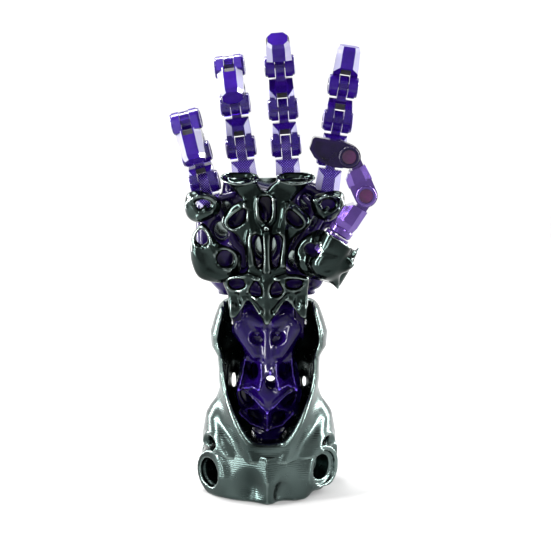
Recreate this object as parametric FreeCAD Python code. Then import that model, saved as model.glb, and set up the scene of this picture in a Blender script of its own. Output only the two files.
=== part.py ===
import FreeCAD, Part
import math
import os

from FreeCAD import Matrix, Vector

# Articulated right hand on a stand: palm faces -Y, thumb on +X, fingers up +Z.
# The origin is the centre of the foot's flat underside.  Lengths in mm, angles in degrees.

# ---- fingers ------------------------------------------------------------------------------
# MCP pivot, lean in the XZ plane (+ towards the thumb), link lengths and the rest flexion of
# the MCP, PIP and DIP joints.
FINGERS = {
    "index": {"mcp": (39.8, 0.0, 215.5), "lean": 8.5, "links": (22.0, 22.0, 25.0), "rest": (0, 3, 5)},
    "middle": {"mcp": (10.8, 0.0, 221.9), "lean": -4.7, "links": (23.0, 27.0, 25.0), "rest": (2, 5, 42)},
    "ring": {"mcp": (-17.5, 0.0, 221.0), "lean": -7.5, "links": (27.0, 25.0, 26.0), "rest": (3, 17, 115)},
    "pinky": {"mcp": (-40.5, 0.0, 198.4), "lean": -14.5, "links": (20.0, 24.5, 26.0), "rest": (12, 18, 128)},
}
ROOT_LENGTH = {"index": 22.0, "middle": 18.0, "ring": 18.0, "pinky": 15.0}

BODY_WIDTH = 15.5            # phalanx across the hinge
BODY_DEPTH = 15.0            # phalanx from palmar to dorsal face
BODY_CHAMFER = 3.8           # flats cut along the link's four edges
BODY_SHOULDER = 2.0          # straight stretch above the fork before the link tapers
WAIST_WIDTH = 14.6           # phalanx just under its tongue
WAIST_DEPTH = 14.0
BODY_START = 7.6             # body above its own pivot
SHOULDER = 8.4               # body stops this far short of the next pivot
SHOULDER_CHAMFER = 4.2       # palmar corner cut away under the MCP and PIP joints
LAST_SHOULDER_CHAMFER = 9.0  # the same under the DIP joint, which folds much further
HEEL_CHAMFER = 4.8           # palmar corner cut off the root of the last link for the same reason

EAR_RADIUS = 7.0             # fork ears round the pivot
SLOT_HALF = 3.2              # half width of the slot between the ears
SLOT_TOP = 11.0              # slot reaches this far above the pivot
BOSS_RADIUS = 6.9            # raised disc on each ear
BOSS_TOP_RADIUS = 6.2
BOSS_OUT = 9.5               # half width over the discs
BOSS_ROUND = 1.0
TONGUE_HALF = 2.9
TONGUE_RADIUS = 6.5
TONGUE_PALMAR = 1.2
TONGUE_DORSAL = 6.0
BUMPER_HALF = 3.15
BUMPER_PALMAR = 2.6          # bumper from this far in front of the pivot's plane to this far behind
BUMPER_DORSAL = 6.5
BUMPER_BOTTOM = 7.4
BUMPER_PLAY = 0.05
BUMPER_ROUND = 0.5

PIN_RADIUS = 1.5
PIN_HOLE_RADIUS = 1.56
PIN_HEAD_RADIUS = 4.2
PIN_HEAD_POCKET = 4.4
PIN_HEAD_INNER = 7.6
PIN_HEAD_OUTER = 8.4
PIN_HEAD_OVERLAP = 0.2
POCKET_FLOOR = 7.5

# blunt fingertip sections: share of the length, width, depth, chamfer
TIP_SECTIONS = [(0.62, 15.0, 13.2, 3.6), (0.9, 14.2, 11.8, 3.2), (1.0, 12.2, 9.6, 2.6)]

# ---- thumb --------------------------------------------------------------------------------
THUMB_Y = -30.0              # the thumb's links lie in this plane, hinge pins along Y
THUMB_ROOT = Vector(43.0, THUMB_Y, 170.0)
THUMB_ANGLES = (33.0, -24.0, -66.0)    # each link's lean from +Z towards +X
THUMB_LINKS = (29.1, 25.7, 24.4)
THUMB_COLLAR_RADIUS = 7.6
THUMB_COLLAR_HEIGHT = 5.0
THUMB_COLLAR_CHAMFER = 1.0
BAR_NECK = 12.0              # square neck between the collar and the bar
BAR_NECK_CHAMFER = 3.0
BAR_NECK_START = 4.0
BAR_START = 9.0
# side outline of the thumb's last link: across the hinge plane, along the link
THUMB_TIP_OUTLINE = [
    (-6.9, -1.0), (-9.6, 6.0), (-9.9, 13.0), (-8.8, 19.0), (-5.4, 23.6), (1.0, 24.4), (2.6, 23.4), (6.9, 6.0),
    (6.9, -1.0),
]
THUMB_PANEL_OUTLINE = [(-7.6, 10.5), (-7.8, 14.0), (-6.8, 18.0), (-4.4, 21.4), (0.6, 21.9), (3.6, 10.5)]
THUMB_PANEL_DEPTH = 1.2
THUMB_PIN_RADIUS = 2.5
THUMB_PIN_HOLE = 2.56
THUMB_PIN_REACH = 12.0
THUMB_BLOCK_RADIUS = 7.8
THUMB_BLOCK_LENGTH = 15.0
THUMB_BLOCK_GAP = 0.6
THUMB_BLOCK_FLOOR = 3.0      # solid floor under the swivel pin
THUMB_PIN_FLOOR_PLAY = 0.2
THUMB_PIN_END_PLAY = 0.5
THUMB_ARM_HALF = 5.5         # foot between the bearing block and the palm frame
THUMB_ARM_DROP = 2.0

# ---- palm ---------------------------------------------------------------------------------
FRAME_HALF_DEPTH = 11.0
SEAT_GAP = 0.1               # left between two pieces screwed face to face
FRAME_OUTLINE = [
    (-27, 127.5), (-38, 131), (-45, 141), (-48.5, 152), (-48.5, 163), (-46, 178), (-46, 187),
    (-31.5, 190.5), (-27, 206.5), (-8, 208.5), (2.5, 209.5), (21, 209), (29, 198.5), (46, 195.5),
    (48, 182), (48, 168), (46, 150), (42, 138), (33, 129.5), (27, 127.5),
]
SOCKET_DEPTH = 7.0           # peg of each finger root inside the frame
SOCKET_PLAY = 0.1
PEG_HALF = 5.0
ROOT_SIDE_GAP = 3.0          # the frame is cut back this far beside each finger root
ROOT_TOP_GAP = 4.0

PLATE_RADIUS = 62.0          # the front shells are bowed to this radius about a vertical line
PLATE_FRONT = -23.0
PLATE_THICK = 5.0
SHELL_BOTTOM = 100.0         # the bowed blank spans these heights before it is cut to outline
SHELL_TOP = 215.0
PLATE_OUTLINE = [
    (-28.5, 207), (-18, 206), (-8, 203.5), (-2.5, 198), (2.5, 203.5), (14, 206), (25.5, 206.5), (22.5, 200),
    (17.5, 194), (19, 186), (25, 179.5), (25, 173), (17, 167), (12.5, 160), (10, 149), (11.5, 144),
    (19.5, 143),
    (25.5, 139), (25.5, 131), (24.8, 123), (24, 115), (19, 115.5), (15, 121), (8.5, 126), (3, 117), (-1, 111),
    (-4, 117), (-10, 126), (-17, 121), (-20, 115.5), (-25, 115), (-25.5, 123), (-27, 131), (-28.5, 137),
    (-26.5, 140.5), (-20, 143), (-13, 144.5), (-12, 152), (-14.5, 160), (-18, 167), (-27, 172), (-28.5, 177),
    (-24, 185), (-18, 190), (-20, 194), (-25, 200),
]
PLATE_HOLES = [
    [(-14, 184.5), (-20, 181), (-24.5, 176), (-21, 173), (-15.5, 176)],
    [(12, 185), (10.5, 180), (14.5, 173.5), (19.5, 173), (17, 180)],
    [(-6.5, 192), (2, 192), (1.5, 180.5), (-2.5, 177.5), (-6, 180.5)],
    [(-10.5, 167), (-5.5, 167), (-4.5, 148.5), (-7.5, 148.5)],
    [(2.5, 167), (7.5, 167), (5, 148.5), (2, 148.5)],
    [(-8.5, 138), (-5.2, 134.5), (-5.5, 130), (-10, 129.5), (-12, 133.5)],
    [(5, 138), (8.2, 134.5), (7.5, 131), (3, 130), (1.5, 133.5)],
    [(-25, 137.5), (-20.5, 140), (-15.5, 138.5), (-17, 135.5), (-22, 134)],
    [(11, 139), (16.5, 140), (21, 138), (18.5, 135), (13, 135.5)],
]
STANDOFF_RADIUS = 3.2
STANDOFF_ROOT = 4.0
PLATE_STANDOFFS = [(-24.5, 168.8), (21.0, 172.5), (-23.0, 203.0), (20.0, 203.0)]

PINKY_COVER_OUTLINE = [
    (-50, 194), (-37.5, 192.5), (-31, 190), (-30, 186), (-32, 180.5), (-39.5, 176.5), (-45.5, 175),
    (-50, 178.5), (-51, 185),
]
PINKY_COVER_HOLE = [(-46, 187.5), (-41, 190), (-36, 189), (-35, 186), (-38.5, 182.5), (-44, 183.5)]
INDEX_COVER_OUTLINE = [
    (27, 191), (35, 193), (43, 194), (46, 192), (46, 184.5), (43, 180), (38.5, 177), (33, 177), (29.5, 180),
    (27, 186),
]
INDEX_COVER_HOLE = [(31.5, 187), (34.5, 190), (39, 189.5), (40.5, 186), (37, 183.5), (32.5, 184)]
HEEL_COVER_OUTLINE = [
    (-40, 175), (-35.5, 172), (-31.5, 164), (-25.5, 161), (-20, 157), (-18.5, 150.5), (-19, 146.5),
    (-24, 144.5), (-32, 138.5), (-39.5, 140.5), (-44, 145.5), (-47, 153.5), (-47, 164), (-44.5, 171.5),
]
HEEL_COVER_HOLES = [
    [(-40, 172), (-37.8, 168), (-38.5, 164), (-43, 164), (-43.5, 169)],
    [(-30, 158.5), (-27, 159.5), (-22.5, 157), (-21, 154), (-24.5, 150.5), (-29, 153.5)],
]
THUMB_COVER_OUTLINE = [
    (24, 169), (30, 168), (36, 160), (42, 155), (50, 158), (53, 155), (52, 148.5), (44.5, 138.5),
    (39, 136), (35, 142.5), (28.5, 146), (23, 150), (19, 158), (20.5, 165),
]
THUMB_COVER_HOLE = [(23, 162), (26, 165), (31, 164), (32.5, 160.5), (29, 157.5), (25, 158.5)]
COVER_BACK = -FRAME_HALF_DEPTH - 0.3
COVER_THICK = 5.0
HEEL_FRONT = -19.0
THUMB_COVER_FRONT = -20.0

DORSAL_OUTLINE = [
    (-24, 200), (22, 201), (34, 186), (33, 158), (22, 138), (-24, 138), (-36, 158), (-36, 182),
]
DORSAL_THICK = 3.5
DORSAL_CHAMFER = 1.2
SCREW_RADIUS = 1.5
SCREW_HEAD_RADIUS = 2.9
SCREW_HEAD_HEIGHT = 1.6
SCREW_LENGTH = 8.0
SCREW_PLAY = 0.1
SCREW_END_PLAY = 0.3
DORSAL_SCREWS = [(-20.0, 194.0), (19.0, 194.0), (-28.0, 160.0), (27.0, 160.0)]

# ---- wrist --------------------------------------------------------------------------------
WRIST_Y = 2.0
WRIST_Z = 109.0
BARREL_RADIUS = 14.0
BARREL_HALF = 16.0
YOKE_INNER = 16.5
YOKE_OUTER = 22.5
YOKE_RADIUS = 11.5
YOKE_ARM_FRONT = -8.0
YOKE_ARM_REAR = 8.0
YOKE_ARM_TOP = 132.0
WRIST_PIN_RADIUS = 3.5
WRIST_HOLE_RADIUS = 3.56
WRIST_PIN_HALF = 24.5
WRIST_PIN_CHAMFER = 0.6

# ---- forearm ------------------------------------------------------------------------------
# height, half width and half depth of the cuff's outer section
CUFF_SECTIONS = [
    (28.3, 44.0, 37.0), (40.0, 42.0, 34.5), (53.0, 38.5, 31.5), (66.0, 34.5, 29.5), (84.0, 34.0, 28.5),
    (98.0, 37.5, 29.5), (107.0, 38.5, 29.0), (116.0, 35.0, 28.5), (123.0, 30.5, 27.0),
]
CUFF_WALL = 3.2
# half width of the front opening at each height, from the closed bottom up
CUFF_OPENING = [
    (31.0, 3.0), (37.0, 14.0), (45.0, 17.5), (53.0, 22.5), (66.0, 27.0), (75.0, 29.0), (92.0, 30.0),
    (107.0, 32.0), (124.5, 26.5),
]
CUFF_FRONT_LIMIT = -2.0      # the front opening is cut from the front down to here
CUFF_REAR_LIMIT = 5.0        # and the rear windows from the back
# x, z and radius of each rear window
CUFF_REAR_WINDOWS = [
    (0.0, 77.0, 8.0), (-21.0, 70.0, 5.0), (21.0, 72.0, 5.0), (-16.0, 100.0, 6.0), (16.0, 100.0, 6.0),
]
CUFF_SIDE_ARCH_Z = 40.0
CUFF_SIDE_ARCH_RADIUS = 6.0
ARCH_INWARD = 12.0
ARCH_OUTWARD = 20.0
LUG_PLAY = 0.2

CORE_SECTIONS = [
    (28.3, 16.0, 15.0), (44.0, 25.0, 20.0), (60.0, 28.5, 20.5), (78.0, 28.5, 20.0), (92.0, 27.5, 19.0),
]
CORE_TOP = 92.0
CORE_NECK_HALF = 15.0
CORE_NECK_HALF_DEPTH = 11.0
# x, z and radius of each hole through the core
CORE_HOLES = [
    (-1.5, 77.0, 4.0), (-13.5, 83.0, 5.5), (8.0, 83.0, 5.5), (-15.0, 66.0, 5.0), (11.0, 66.0, 5.0),
    (-9.0, 55.0, 4.0), (5.0, 55.0, 4.0),
]

# ---- foot ---------------------------------------------------------------------------------
FOOT_HEIGHT = 28.2
FOOT_BOTTOM = [
    (0, -42), (13, -33), (23, -22), (34, -6), (39, 12), (31, 25), (17, 34), (-17, 34), (-32, 25), (-42, 8),
    (-42, -8), (-34, -20), (-20, -31),
]
FOOT_TOP = [
    (0, -37), (14, -33), (26, -27), (38, -8), (42, 12), (32, 23), (17, 31), (-17, 31), (-32, 23), (-43, 8),
    (-42, -6), (-33, -20), (-19, -31),
]
LUG_INSIDE = 16.0
BORE_RADIUS = 8.0
BORE_LENGTH = 14.0
BORE_CLEAR = 8.0             # the way into each bore is kept open this far out
FRONT_BORE_TILT = 44.0       # angle of each front socket's axis from the X axis towards -Y
REAR_BORE_TILT = -38.0
# mouth centre of each tube socket, the side it faces and the outer radius of its lug
SOCKETS = {
    "front_left": {"mouth": (-37.0, -19.0, 14.5), "side": -1, "tilt": FRONT_BORE_TILT, "lug": 11.0},
    "front_right": {"mouth": (35.0, -20.0, 17.5), "side": 1, "tilt": FRONT_BORE_TILT, "lug": 12.5},
    "rear_left": {"mouth": (-37.0, 21.0, 15.5), "side": -1, "tilt": REAR_BORE_TILT, "lug": 11.0},
    "rear_right": {"mouth": (38.0, 21.0, 17.0), "side": 1, "tilt": REAR_BORE_TILT, "lug": 11.5},
}
BOLT_RADIUS = 2.5
BOLT_HOLE_RADIUS = 2.6
BOLT_HEAD_RADIUS = 4.5
BOLT_HEAD_HEIGHT = 3.0
BOLT_HEAD_POCKET = 4.7
BOLT_POCKET_DEPTH = 4.0
BOLT_TOP = 40.0
BOLT_END_PLAY = 0.5
BOLT_X = 9.0

# ---- modelling allowances -----------------------------------------------------------------
OVERLAP = 1.0                # solids run this far into each other before they are fused
CLEAR = 1.0                  # cutters stick out this far past the face they open
REACH = 60.0                 # longer than any piece is deep: length of a through cutter
SAME = 0.01                  # positions closer than this are the same edge

X_AXIS = Vector(1, 0, 0)
Y_AXIS = Vector(0, 1, 0)


# ---- small helpers ------------------------------------------------------------------------
def box(x0, x1, y0, y1, z0, z1):
    return Part.makeBox(x1 - x0, y1 - y0, z1 - z0, Vector(x0, y0, z0))


def cylinder(radius, start, end):
    axis = end - start
    return Part.makeCylinder(radius, axis.Length, start, axis)


def cross_pin(radius, half_length, y=0.0, z=0.0):
    return cylinder(radius, Vector(-half_length, y, z), Vector(half_length, y, z))


def round_edges(shape):
    return [e for e in shape.Edges if e.Curve.TypeId == "Part::GeomCircle"]


def chamfered_section(width, depth, chamfer, z):
    """Closed wire of a rectangle with its corners cut off, square to Z."""
    a = width / 2
    b = depth / 2
    corners = []
    for sx, sy in ((1, 1), (-1, 1), (-1, -1), (1, -1)):
        on_side = Vector(sx * a, sy * (b - chamfer), z)
        on_face = Vector(sx * (a - chamfer), sy * b, z)
        corners += [on_side, on_face] if sx * sy > 0 else [on_face, on_side]
    return Part.makePolygon(corners + [corners[0]])


def ellipse_section(half_width, half_depth, z):
    if half_width >= half_depth:
        curve = Part.Ellipse(Vector(0, 0, z), half_width, half_depth)
    else:
        curve = Part.Ellipse(Vector(0, half_depth, z), Vector(half_width, 0, z), Vector(0, 0, z))
    return Part.Wire(curve.toShape())


def front_prism(outline, y0, y1):
    """Extrude an outline given as (x, z) points from y0 to y1."""
    points = [Vector(x, y0, z) for x, z in outline]
    wire = Part.makePolygon(points + [points[0]])
    return Part.Face(wire).extrude(Vector(0, y1 - y0, 0))


def plan_wire(outline, z):
    points = [Vector(x, y, z) for x, y in outline]
    return Part.makePolygon(points + [points[0]])


def placement(origin, across, along):
    """Local X runs along the hinge, local Z along the link."""
    deep = along.cross(across)
    matrix = Matrix(
        across.x, deep.x, along.x, origin.x,
        across.y, deep.y, along.y, origin.y,
        across.z, deep.z, along.z, origin.z,
        0, 0, 0, 1,
    )
    return FreeCAD.Placement(matrix)


def placed(shape, where):
    moved = shape.copy()
    moved.Placement = where.multiply(moved.Placement)
    return moved


def turned(along, across, degrees):
    """Turn a link direction about its hinge; a positive angle flexes it."""
    t = math.radians(degrees)
    return along * math.cos(t) + across.cross(along) * math.sin(t)


# ---- kinematics ---------------------------------------------------------------------------
def finger_across(name):
    lean = math.radians(FINGERS[name]["lean"])
    return Vector(math.cos(lean), 0, -math.sin(lean))


def finger_along(name):
    lean = math.radians(FINGERS[name]["lean"])
    return Vector(math.sin(lean), 0, math.cos(lean))


def finger_places(name):
    """Placements of the proximal, middle and distal link at rest."""
    across = finger_across(name)
    pivot = Vector(*FINGERS[name]["mcp"])
    flexion = 0
    places = []
    for length, rest in zip(FINGERS[name]["links"], FINGERS[name]["rest"]):
        flexion += rest
        along = turned(finger_along(name), across, flexion)
        places.append(placement(pivot, across, along))
        pivot = pivot + along * length
    return places


def thumb_along(index):
    lean = math.radians(THUMB_ANGLES[index])
    return Vector(math.sin(lean), 0, math.cos(lean))


def thumb_places():
    """Placements of the thumb's metacarpal, proximal and distal link at rest."""
    pivot = THUMB_ROOT
    places = []
    for index, length in enumerate(THUMB_LINKS):
        along = thumb_along(index)
        places.append(placement(pivot, -Y_AXIS, along))
        pivot = pivot + along * length
    return places


# ---- finger pieces, each with its pivot at the local origin ---------------------------------
def knuckle_disc(side):
    start = Vector(side * SLOT_HALF, 0, 0)
    disc = Part.makeCone(BOSS_RADIUS, BOSS_TOP_RADIUS, BOSS_OUT - SLOT_HALF, start, X_AXIS * side)
    outer_edges = [e for e in disc.Edges if abs(abs(e.CenterOfMass.x) - BOSS_OUT) < SAME]
    return disc.makeFillet(BOSS_ROUND, outer_edges)


def ears():
    """Round ears at the pivot with raised discs; the slot is cut later."""
    return cross_pin(EAR_RADIUS, BODY_WIDTH / 2).fuse([knuckle_disc(-1), knuckle_disc(1)])


def ear_stem():
    """Joins the ears to the link's body."""
    half = BODY_WIDTH / 2
    return box(-half, half, -EAR_RADIUS, EAR_RADIUS, 0, BODY_START + OVERLAP)


def fork_slot():
    return box(-SLOT_HALF, SLOT_HALF, -BODY_DEPTH, BODY_DEPTH, -BODY_DEPTH, SLOT_TOP)


def pin_bores(z):
    """Hinge bore with a pocket for a pin head at each end."""
    bore = cross_pin(PIN_HOLE_RADIUS, BOSS_OUT + CLEAR, 0, z)
    for side in (-1, 1):
        start = Vector(side * POCKET_FLOOR, 0, z)
        end = Vector(side * (BOSS_OUT + CLEAR), 0, z)
        bore = bore.fuse(cylinder(PIN_HEAD_POCKET, start, end))
    return bore


def tongue(length):
    """The eye that the next link's fork straddles; its pivot is at z = length."""
    eye = cross_pin(TONGUE_RADIUS, TONGUE_HALF, 0, length)
    neck = box(-TONGUE_HALF, TONGUE_HALF, -TONGUE_PALMAR, TONGUE_DORSAL, length - SHOULDER - OVERLAP, length)
    hole = cross_pin(PIN_HOLE_RADIUS, TONGUE_HALF + CLEAR, 0, length)
    return eye.fuse(neck).cut(hole)


def palmar_corner(length, c=SHOULDER_CHAMFER):
    """Wedge that clears the palmar corner of a shoulder."""
    z = length - SHOULDER
    y = -WAIST_DEPTH / 2
    points = [Vector(0, y + c, z), Vector(0, y - c, z), Vector(0, y - c, z - 2 * c)]
    face = Part.Face(Part.makePolygon(points + [points[0]]))
    return face.extrude(Vector(2 * BODY_WIDTH, 0, 0)).translated(Vector(-BODY_WIDTH, 0, 0))


def link_body(end_sections):
    sections = [
        chamfered_section(BODY_WIDTH, BODY_DEPTH, BODY_CHAMFER, BODY_START),
        chamfered_section(BODY_WIDTH, BODY_DEPTH, BODY_CHAMFER, BODY_START + BODY_SHOULDER),
    ]
    return Part.makeLoft(sections + end_sections, True, True)


def heel_corner():
    """Wedge that clears the palmar corner at the root of a fingertip, down to its pivot."""
    front = -BODY_DEPTH / 2
    line = front + BODY_START + HEEL_CHAMFER
    outline = [(front - CLEAR, line - front + CLEAR), (front - CLEAR, -CLEAR), (line + CLEAR, -CLEAR)]
    return side_prism(outline, -BODY_WIDTH, BODY_WIDTH)


def phalanx(length, chamfer=SHOULDER_CHAMFER):
    waist = chamfered_section(WAIST_WIDTH, WAIST_DEPTH, BODY_CHAMFER, length - SHOULDER)
    body = link_body([waist]).cut(palmar_corner(length, chamfer))
    link = body.fuse([ear_stem(), ears(), tongue(length)])
    link = link.cut(fork_slot())
    link = link.cut(pin_bores(0))
    return link.removeSplitter()


def fingertip(length):
    sections = [chamfered_section(w, d, c, length * share) for share, w, d, c in TIP_SECTIONS]
    tip = link_body(sections).fuse(ear_stem()).cut(heel_corner()).fuse(ears())
    tip = tip.cut(fork_slot())
    tip = tip.cut(pin_bores(0))
    return tip.removeSplitter()


def bumper():
    """Black stop block at the root of a fork slot."""
    top = SLOT_TOP - BUMPER_PLAY
    block = box(-BUMPER_HALF, BUMPER_HALF, -BUMPER_PALMAR, BUMPER_DORSAL, BUMPER_BOTTOM, top)
    lower_edges = [e for e in block.Edges if abs(e.CenterOfMass.z - BUMPER_BOTTOM) < SAME]
    return block.makeFillet(BUMPER_ROUND, lower_edges)


def hinge_pin():
    pin = cross_pin(PIN_RADIUS, PIN_HEAD_INNER + PIN_HEAD_OVERLAP)
    for side in (-1, 1):
        start = Vector(side * PIN_HEAD_INNER, 0, 0)
        end = Vector(side * PIN_HEAD_OUTER, 0, 0)
        pin = pin.fuse(cylinder(PIN_HEAD_RADIUS, start, end))
    return pin.removeSplitter()


def finger_root(depth_below):
    """Stub with the MCP eye at its top and a peg that stands in the palm frame."""
    sections = [
        chamfered_section(BODY_WIDTH, BODY_DEPTH, BODY_CHAMFER, -depth_below),
        chamfered_section(WAIST_WIDTH, WAIST_DEPTH, BODY_CHAMFER, -SHOULDER),
    ]
    body = Part.makeLoft(sections, True, True).cut(palmar_corner(0))
    peg = box(-PEG_HALF, PEG_HALF, -PEG_HALF, PEG_HALF, -depth_below - SOCKET_DEPTH, -depth_below + OVERLAP)
    return body.fuse([peg, tongue(0)]).removeSplitter()


def root_socket(depth_below):
    """Space that a finger root needs inside the palm frame."""
    wide = WAIST_WIDTH / 2 + ROOT_SIDE_GAP
    above = box(-wide, wide, -REACH, REACH, -depth_below, ROOT_TOP_GAP)
    half = PEG_HALF + SOCKET_PLAY
    hole = box(-half, half, -half, half, -depth_below - SOCKET_DEPTH - SOCKET_PLAY, -depth_below + CLEAR)
    return above.fuse(hole)


# ---- thumb pieces ---------------------------------------------------------------------------
def thumb_metacarpal():
    length = THUMB_LINKS[0]
    collar = cylinder(THUMB_COLLAR_RADIUS, Vector(0, 0, 0), Vector(0, 0, THUMB_COLLAR_HEIGHT))
    collar = collar.makeChamfer(THUMB_COLLAR_CHAMFER, round_edges(collar))
    sections = [
        chamfered_section(BAR_NECK, BAR_NECK, BAR_NECK_CHAMFER, BAR_NECK_START),
        chamfered_section(WAIST_WIDTH, WAIST_DEPTH, BODY_CHAMFER, BAR_START),
        chamfered_section(WAIST_WIDTH, WAIST_DEPTH, BODY_CHAMFER, length - SHOULDER),
    ]
    bar = Part.makeLoft(sections, True, True).cut(palmar_corner(length))
    link = collar.fuse([bar, tongue(length)])
    hole = cylinder(THUMB_PIN_HOLE, Vector(0, 0, -CLEAR), Vector(0, 0, THUMB_PIN_REACH + THUMB_PIN_END_PLAY))
    return link.cut(hole).removeSplitter()


def side_prism(outline, x0, x1):
    """Extrude an outline given as (y, z) points from x0 to x1."""
    points = [Vector(x0, y, z) for y, z in outline]
    return Part.Face(Part.makePolygon(points + [points[0]])).extrude(Vector(x1 - x0, 0, 0))


def thumb_tip():
    """Hooked last link with a sunk panel on each side."""
    half = BODY_WIDTH / 2
    tip = side_prism(THUMB_TIP_OUTLINE, -half, half)
    tip = tip.fuse([ear_stem(), ears()])
    for side in (-1, 1):
        floor = side * (half - THUMB_PANEL_DEPTH)
        tip = tip.cut(side_prism(THUMB_PANEL_OUTLINE, floor, side * (half + CLEAR)))
    tip = tip.cut(fork_slot())
    tip = tip.cut(pin_bores(0))
    return tip.removeSplitter()


def thumb_root_block():
    """Bearing block under the metacarpal with a foot that reaches back to the palm frame."""
    top = -THUMB_BLOCK_GAP
    bottom = top - THUMB_BLOCK_LENGTH
    block = cylinder(THUMB_BLOCK_RADIUS, Vector(0, 0, bottom), Vector(0, 0, top))
    reach = -THUMB_Y - FRAME_HALF_DEPTH - SEAT_GAP
    arm = box(-reach, 0, -THUMB_ARM_HALF, THUMB_ARM_HALF, bottom, top - THUMB_ARM_DROP)
    hole = cylinder(THUMB_PIN_HOLE, Vector(0, 0, bottom + THUMB_BLOCK_FLOOR), Vector(0, 0, CLEAR))
    return block.fuse(arm).cut(hole).removeSplitter()


def thumb_swivel_pin():
    bottom = -THUMB_BLOCK_GAP - THUMB_BLOCK_LENGTH + THUMB_BLOCK_FLOOR + THUMB_PIN_FLOOR_PLAY
    return cylinder(THUMB_PIN_RADIUS, Vector(0, 0, bottom), Vector(0, 0, THUMB_PIN_REACH))


# ---- palm -----------------------------------------------------------------------------------
def bowed_shell(outline, front, thick, back_limit):
    """An outline cut from a shell that is bowed about a vertical line behind the palm."""
    axis_y = front + PLATE_RADIUS
    start = Vector(0, axis_y, SHELL_BOTTOM)
    end = Vector(0, axis_y, SHELL_TOP)
    shell = cylinder(PLATE_RADIUS, start, end).cut(cylinder(PLATE_RADIUS - thick, start, end))
    return front_prism(outline, front - CLEAR, back_limit).common(shell)


def palm_plate():
    plate = bowed_shell(PLATE_OUTLINE, PLATE_FRONT, PLATE_THICK, COVER_BACK)
    for hole in PLATE_HOLES:
        plate = plate.cut(front_prism(hole, PLATE_FRONT - CLEAR, 0))
    for x, z in PLATE_STANDOFFS:
        top = PLATE_FRONT + PLATE_THICK + STANDOFF_ROOT
        post = cylinder(STANDOFF_RADIUS, Vector(x, COVER_BACK, z), Vector(x, top, z))
        plate = plate.fuse(post)
    return plate.removeSplitter()


def flat_cover(outline, holes, front):
    cover = front_prism(outline, front, COVER_BACK)
    for hole in holes:
        cover = cover.cut(front_prism(hole, front - CLEAR, COVER_BACK + CLEAR))
    return cover


def thumb_cover(block):
    """Shell over the thumb's root, hollowed to clear the bearing block."""
    cover = flat_cover(THUMB_COVER_OUTLINE, [THUMB_COVER_HOLE], THUMB_COVER_FRONT)
    return cover.cut(block)


def palm_frame():
    frame = front_prism(FRAME_OUTLINE, -FRAME_HALF_DEPTH, FRAME_HALF_DEPTH)
    for side in (-1, 1):
        inner = side * YOKE_INNER
        outer = side * YOKE_OUTER
        ear = cylinder(YOKE_RADIUS, Vector(inner, WRIST_Y, WRIST_Z), Vector(outer, WRIST_Y, WRIST_Z))
        x0, x1 = sorted((inner, outer))
        arm = box(x0, x1, YOKE_ARM_FRONT, YOKE_ARM_REAR, WRIST_Z, YOKE_ARM_TOP)
        frame = frame.fuse([ear, arm])
    hole = cross_pin(WRIST_HOLE_RADIUS, WRIST_PIN_HALF + CLEAR, WRIST_Y, WRIST_Z)
    frame = frame.cut(hole)
    for name in FINGERS:
        where = placement(Vector(*FINGERS[name]["mcp"]), finger_across(name), finger_along(name))
        frame = frame.cut(placed(root_socket(ROOT_LENGTH[name]), where))
    return frame.removeSplitter()


def dorsal_plate():
    y0 = FRAME_HALF_DEPTH + SEAT_GAP
    plate = front_prism(DORSAL_OUTLINE, y0, y0 + DORSAL_THICK)
    rim = [e for e in plate.Edges if all(v.Y > y0 + OVERLAP for v in e.Vertexes)]
    return plate.makeChamfer(DORSAL_CHAMFER, rim)


def cover_screws():
    """Button-head screws that hold the dorsal plate."""
    y_face = FRAME_HALF_DEPTH + SEAT_GAP + DORSAL_THICK
    screws = []
    for x, z in DORSAL_SCREWS:
        end = Vector(x, y_face - SCREW_LENGTH, z)
        shank = cylinder(SCREW_RADIUS, end, Vector(x, y_face + SCREW_HEAD_HEIGHT / 2, z))
        head = cylinder(SCREW_HEAD_RADIUS, Vector(x, y_face, z), Vector(x, y_face + SCREW_HEAD_HEIGHT, z))
        screws.append(shank.fuse(head).removeSplitter())
    return screws


def screw_holes(radius):
    y_face = FRAME_HALF_DEPTH + SEAT_GAP + DORSAL_THICK
    return [
        cylinder(radius, Vector(x, y_face - SCREW_LENGTH - SCREW_END_PLAY, z), Vector(x, y_face + CLEAR, z))
        for x, z in DORSAL_SCREWS
    ]


# ---- forearm --------------------------------------------------------------------------------
def section_loft(sections, inset):
    wires = [ellipse_section(w - inset, d - inset, z) for z, w, d in sections]
    return Part.makeLoft(wires, True, False)


def forearm_cuff():
    cuff = section_loft(CUFF_SECTIONS, 0).cut(section_loft(CUFF_SECTIONS, CUFF_WALL))
    right = [(half, z) for z, half in CUFF_OPENING]
    left = [(-x, z) for x, z in reversed(right)]
    cuff = cuff.cut(front_prism(right + left, -REACH, CUFF_FRONT_LIMIT))
    for x, z, radius in CUFF_REAR_WINDOWS:
        cuff = cuff.cut(cylinder(radius, Vector(x, CUFF_REAR_LIMIT, z), Vector(x, REACH, z)))
    for socket in SOCKETS.values():
        out = socket_axis(socket)
        mouth = Vector(*socket["mouth"])
        centre = Vector(mouth.x, mouth.y, CUFF_SIDE_ARCH_Z)
        arch = cylinder(CUFF_SIDE_ARCH_RADIUS, centre - out * ARCH_INWARD, centre + out * ARCH_OUTWARD)
        cuff = cuff.cut(arch)
        cuff = cuff.cut(cylinder(socket["lug"] + LUG_PLAY, mouth - out * LUG_INSIDE, mouth))
    return cuff


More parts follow.
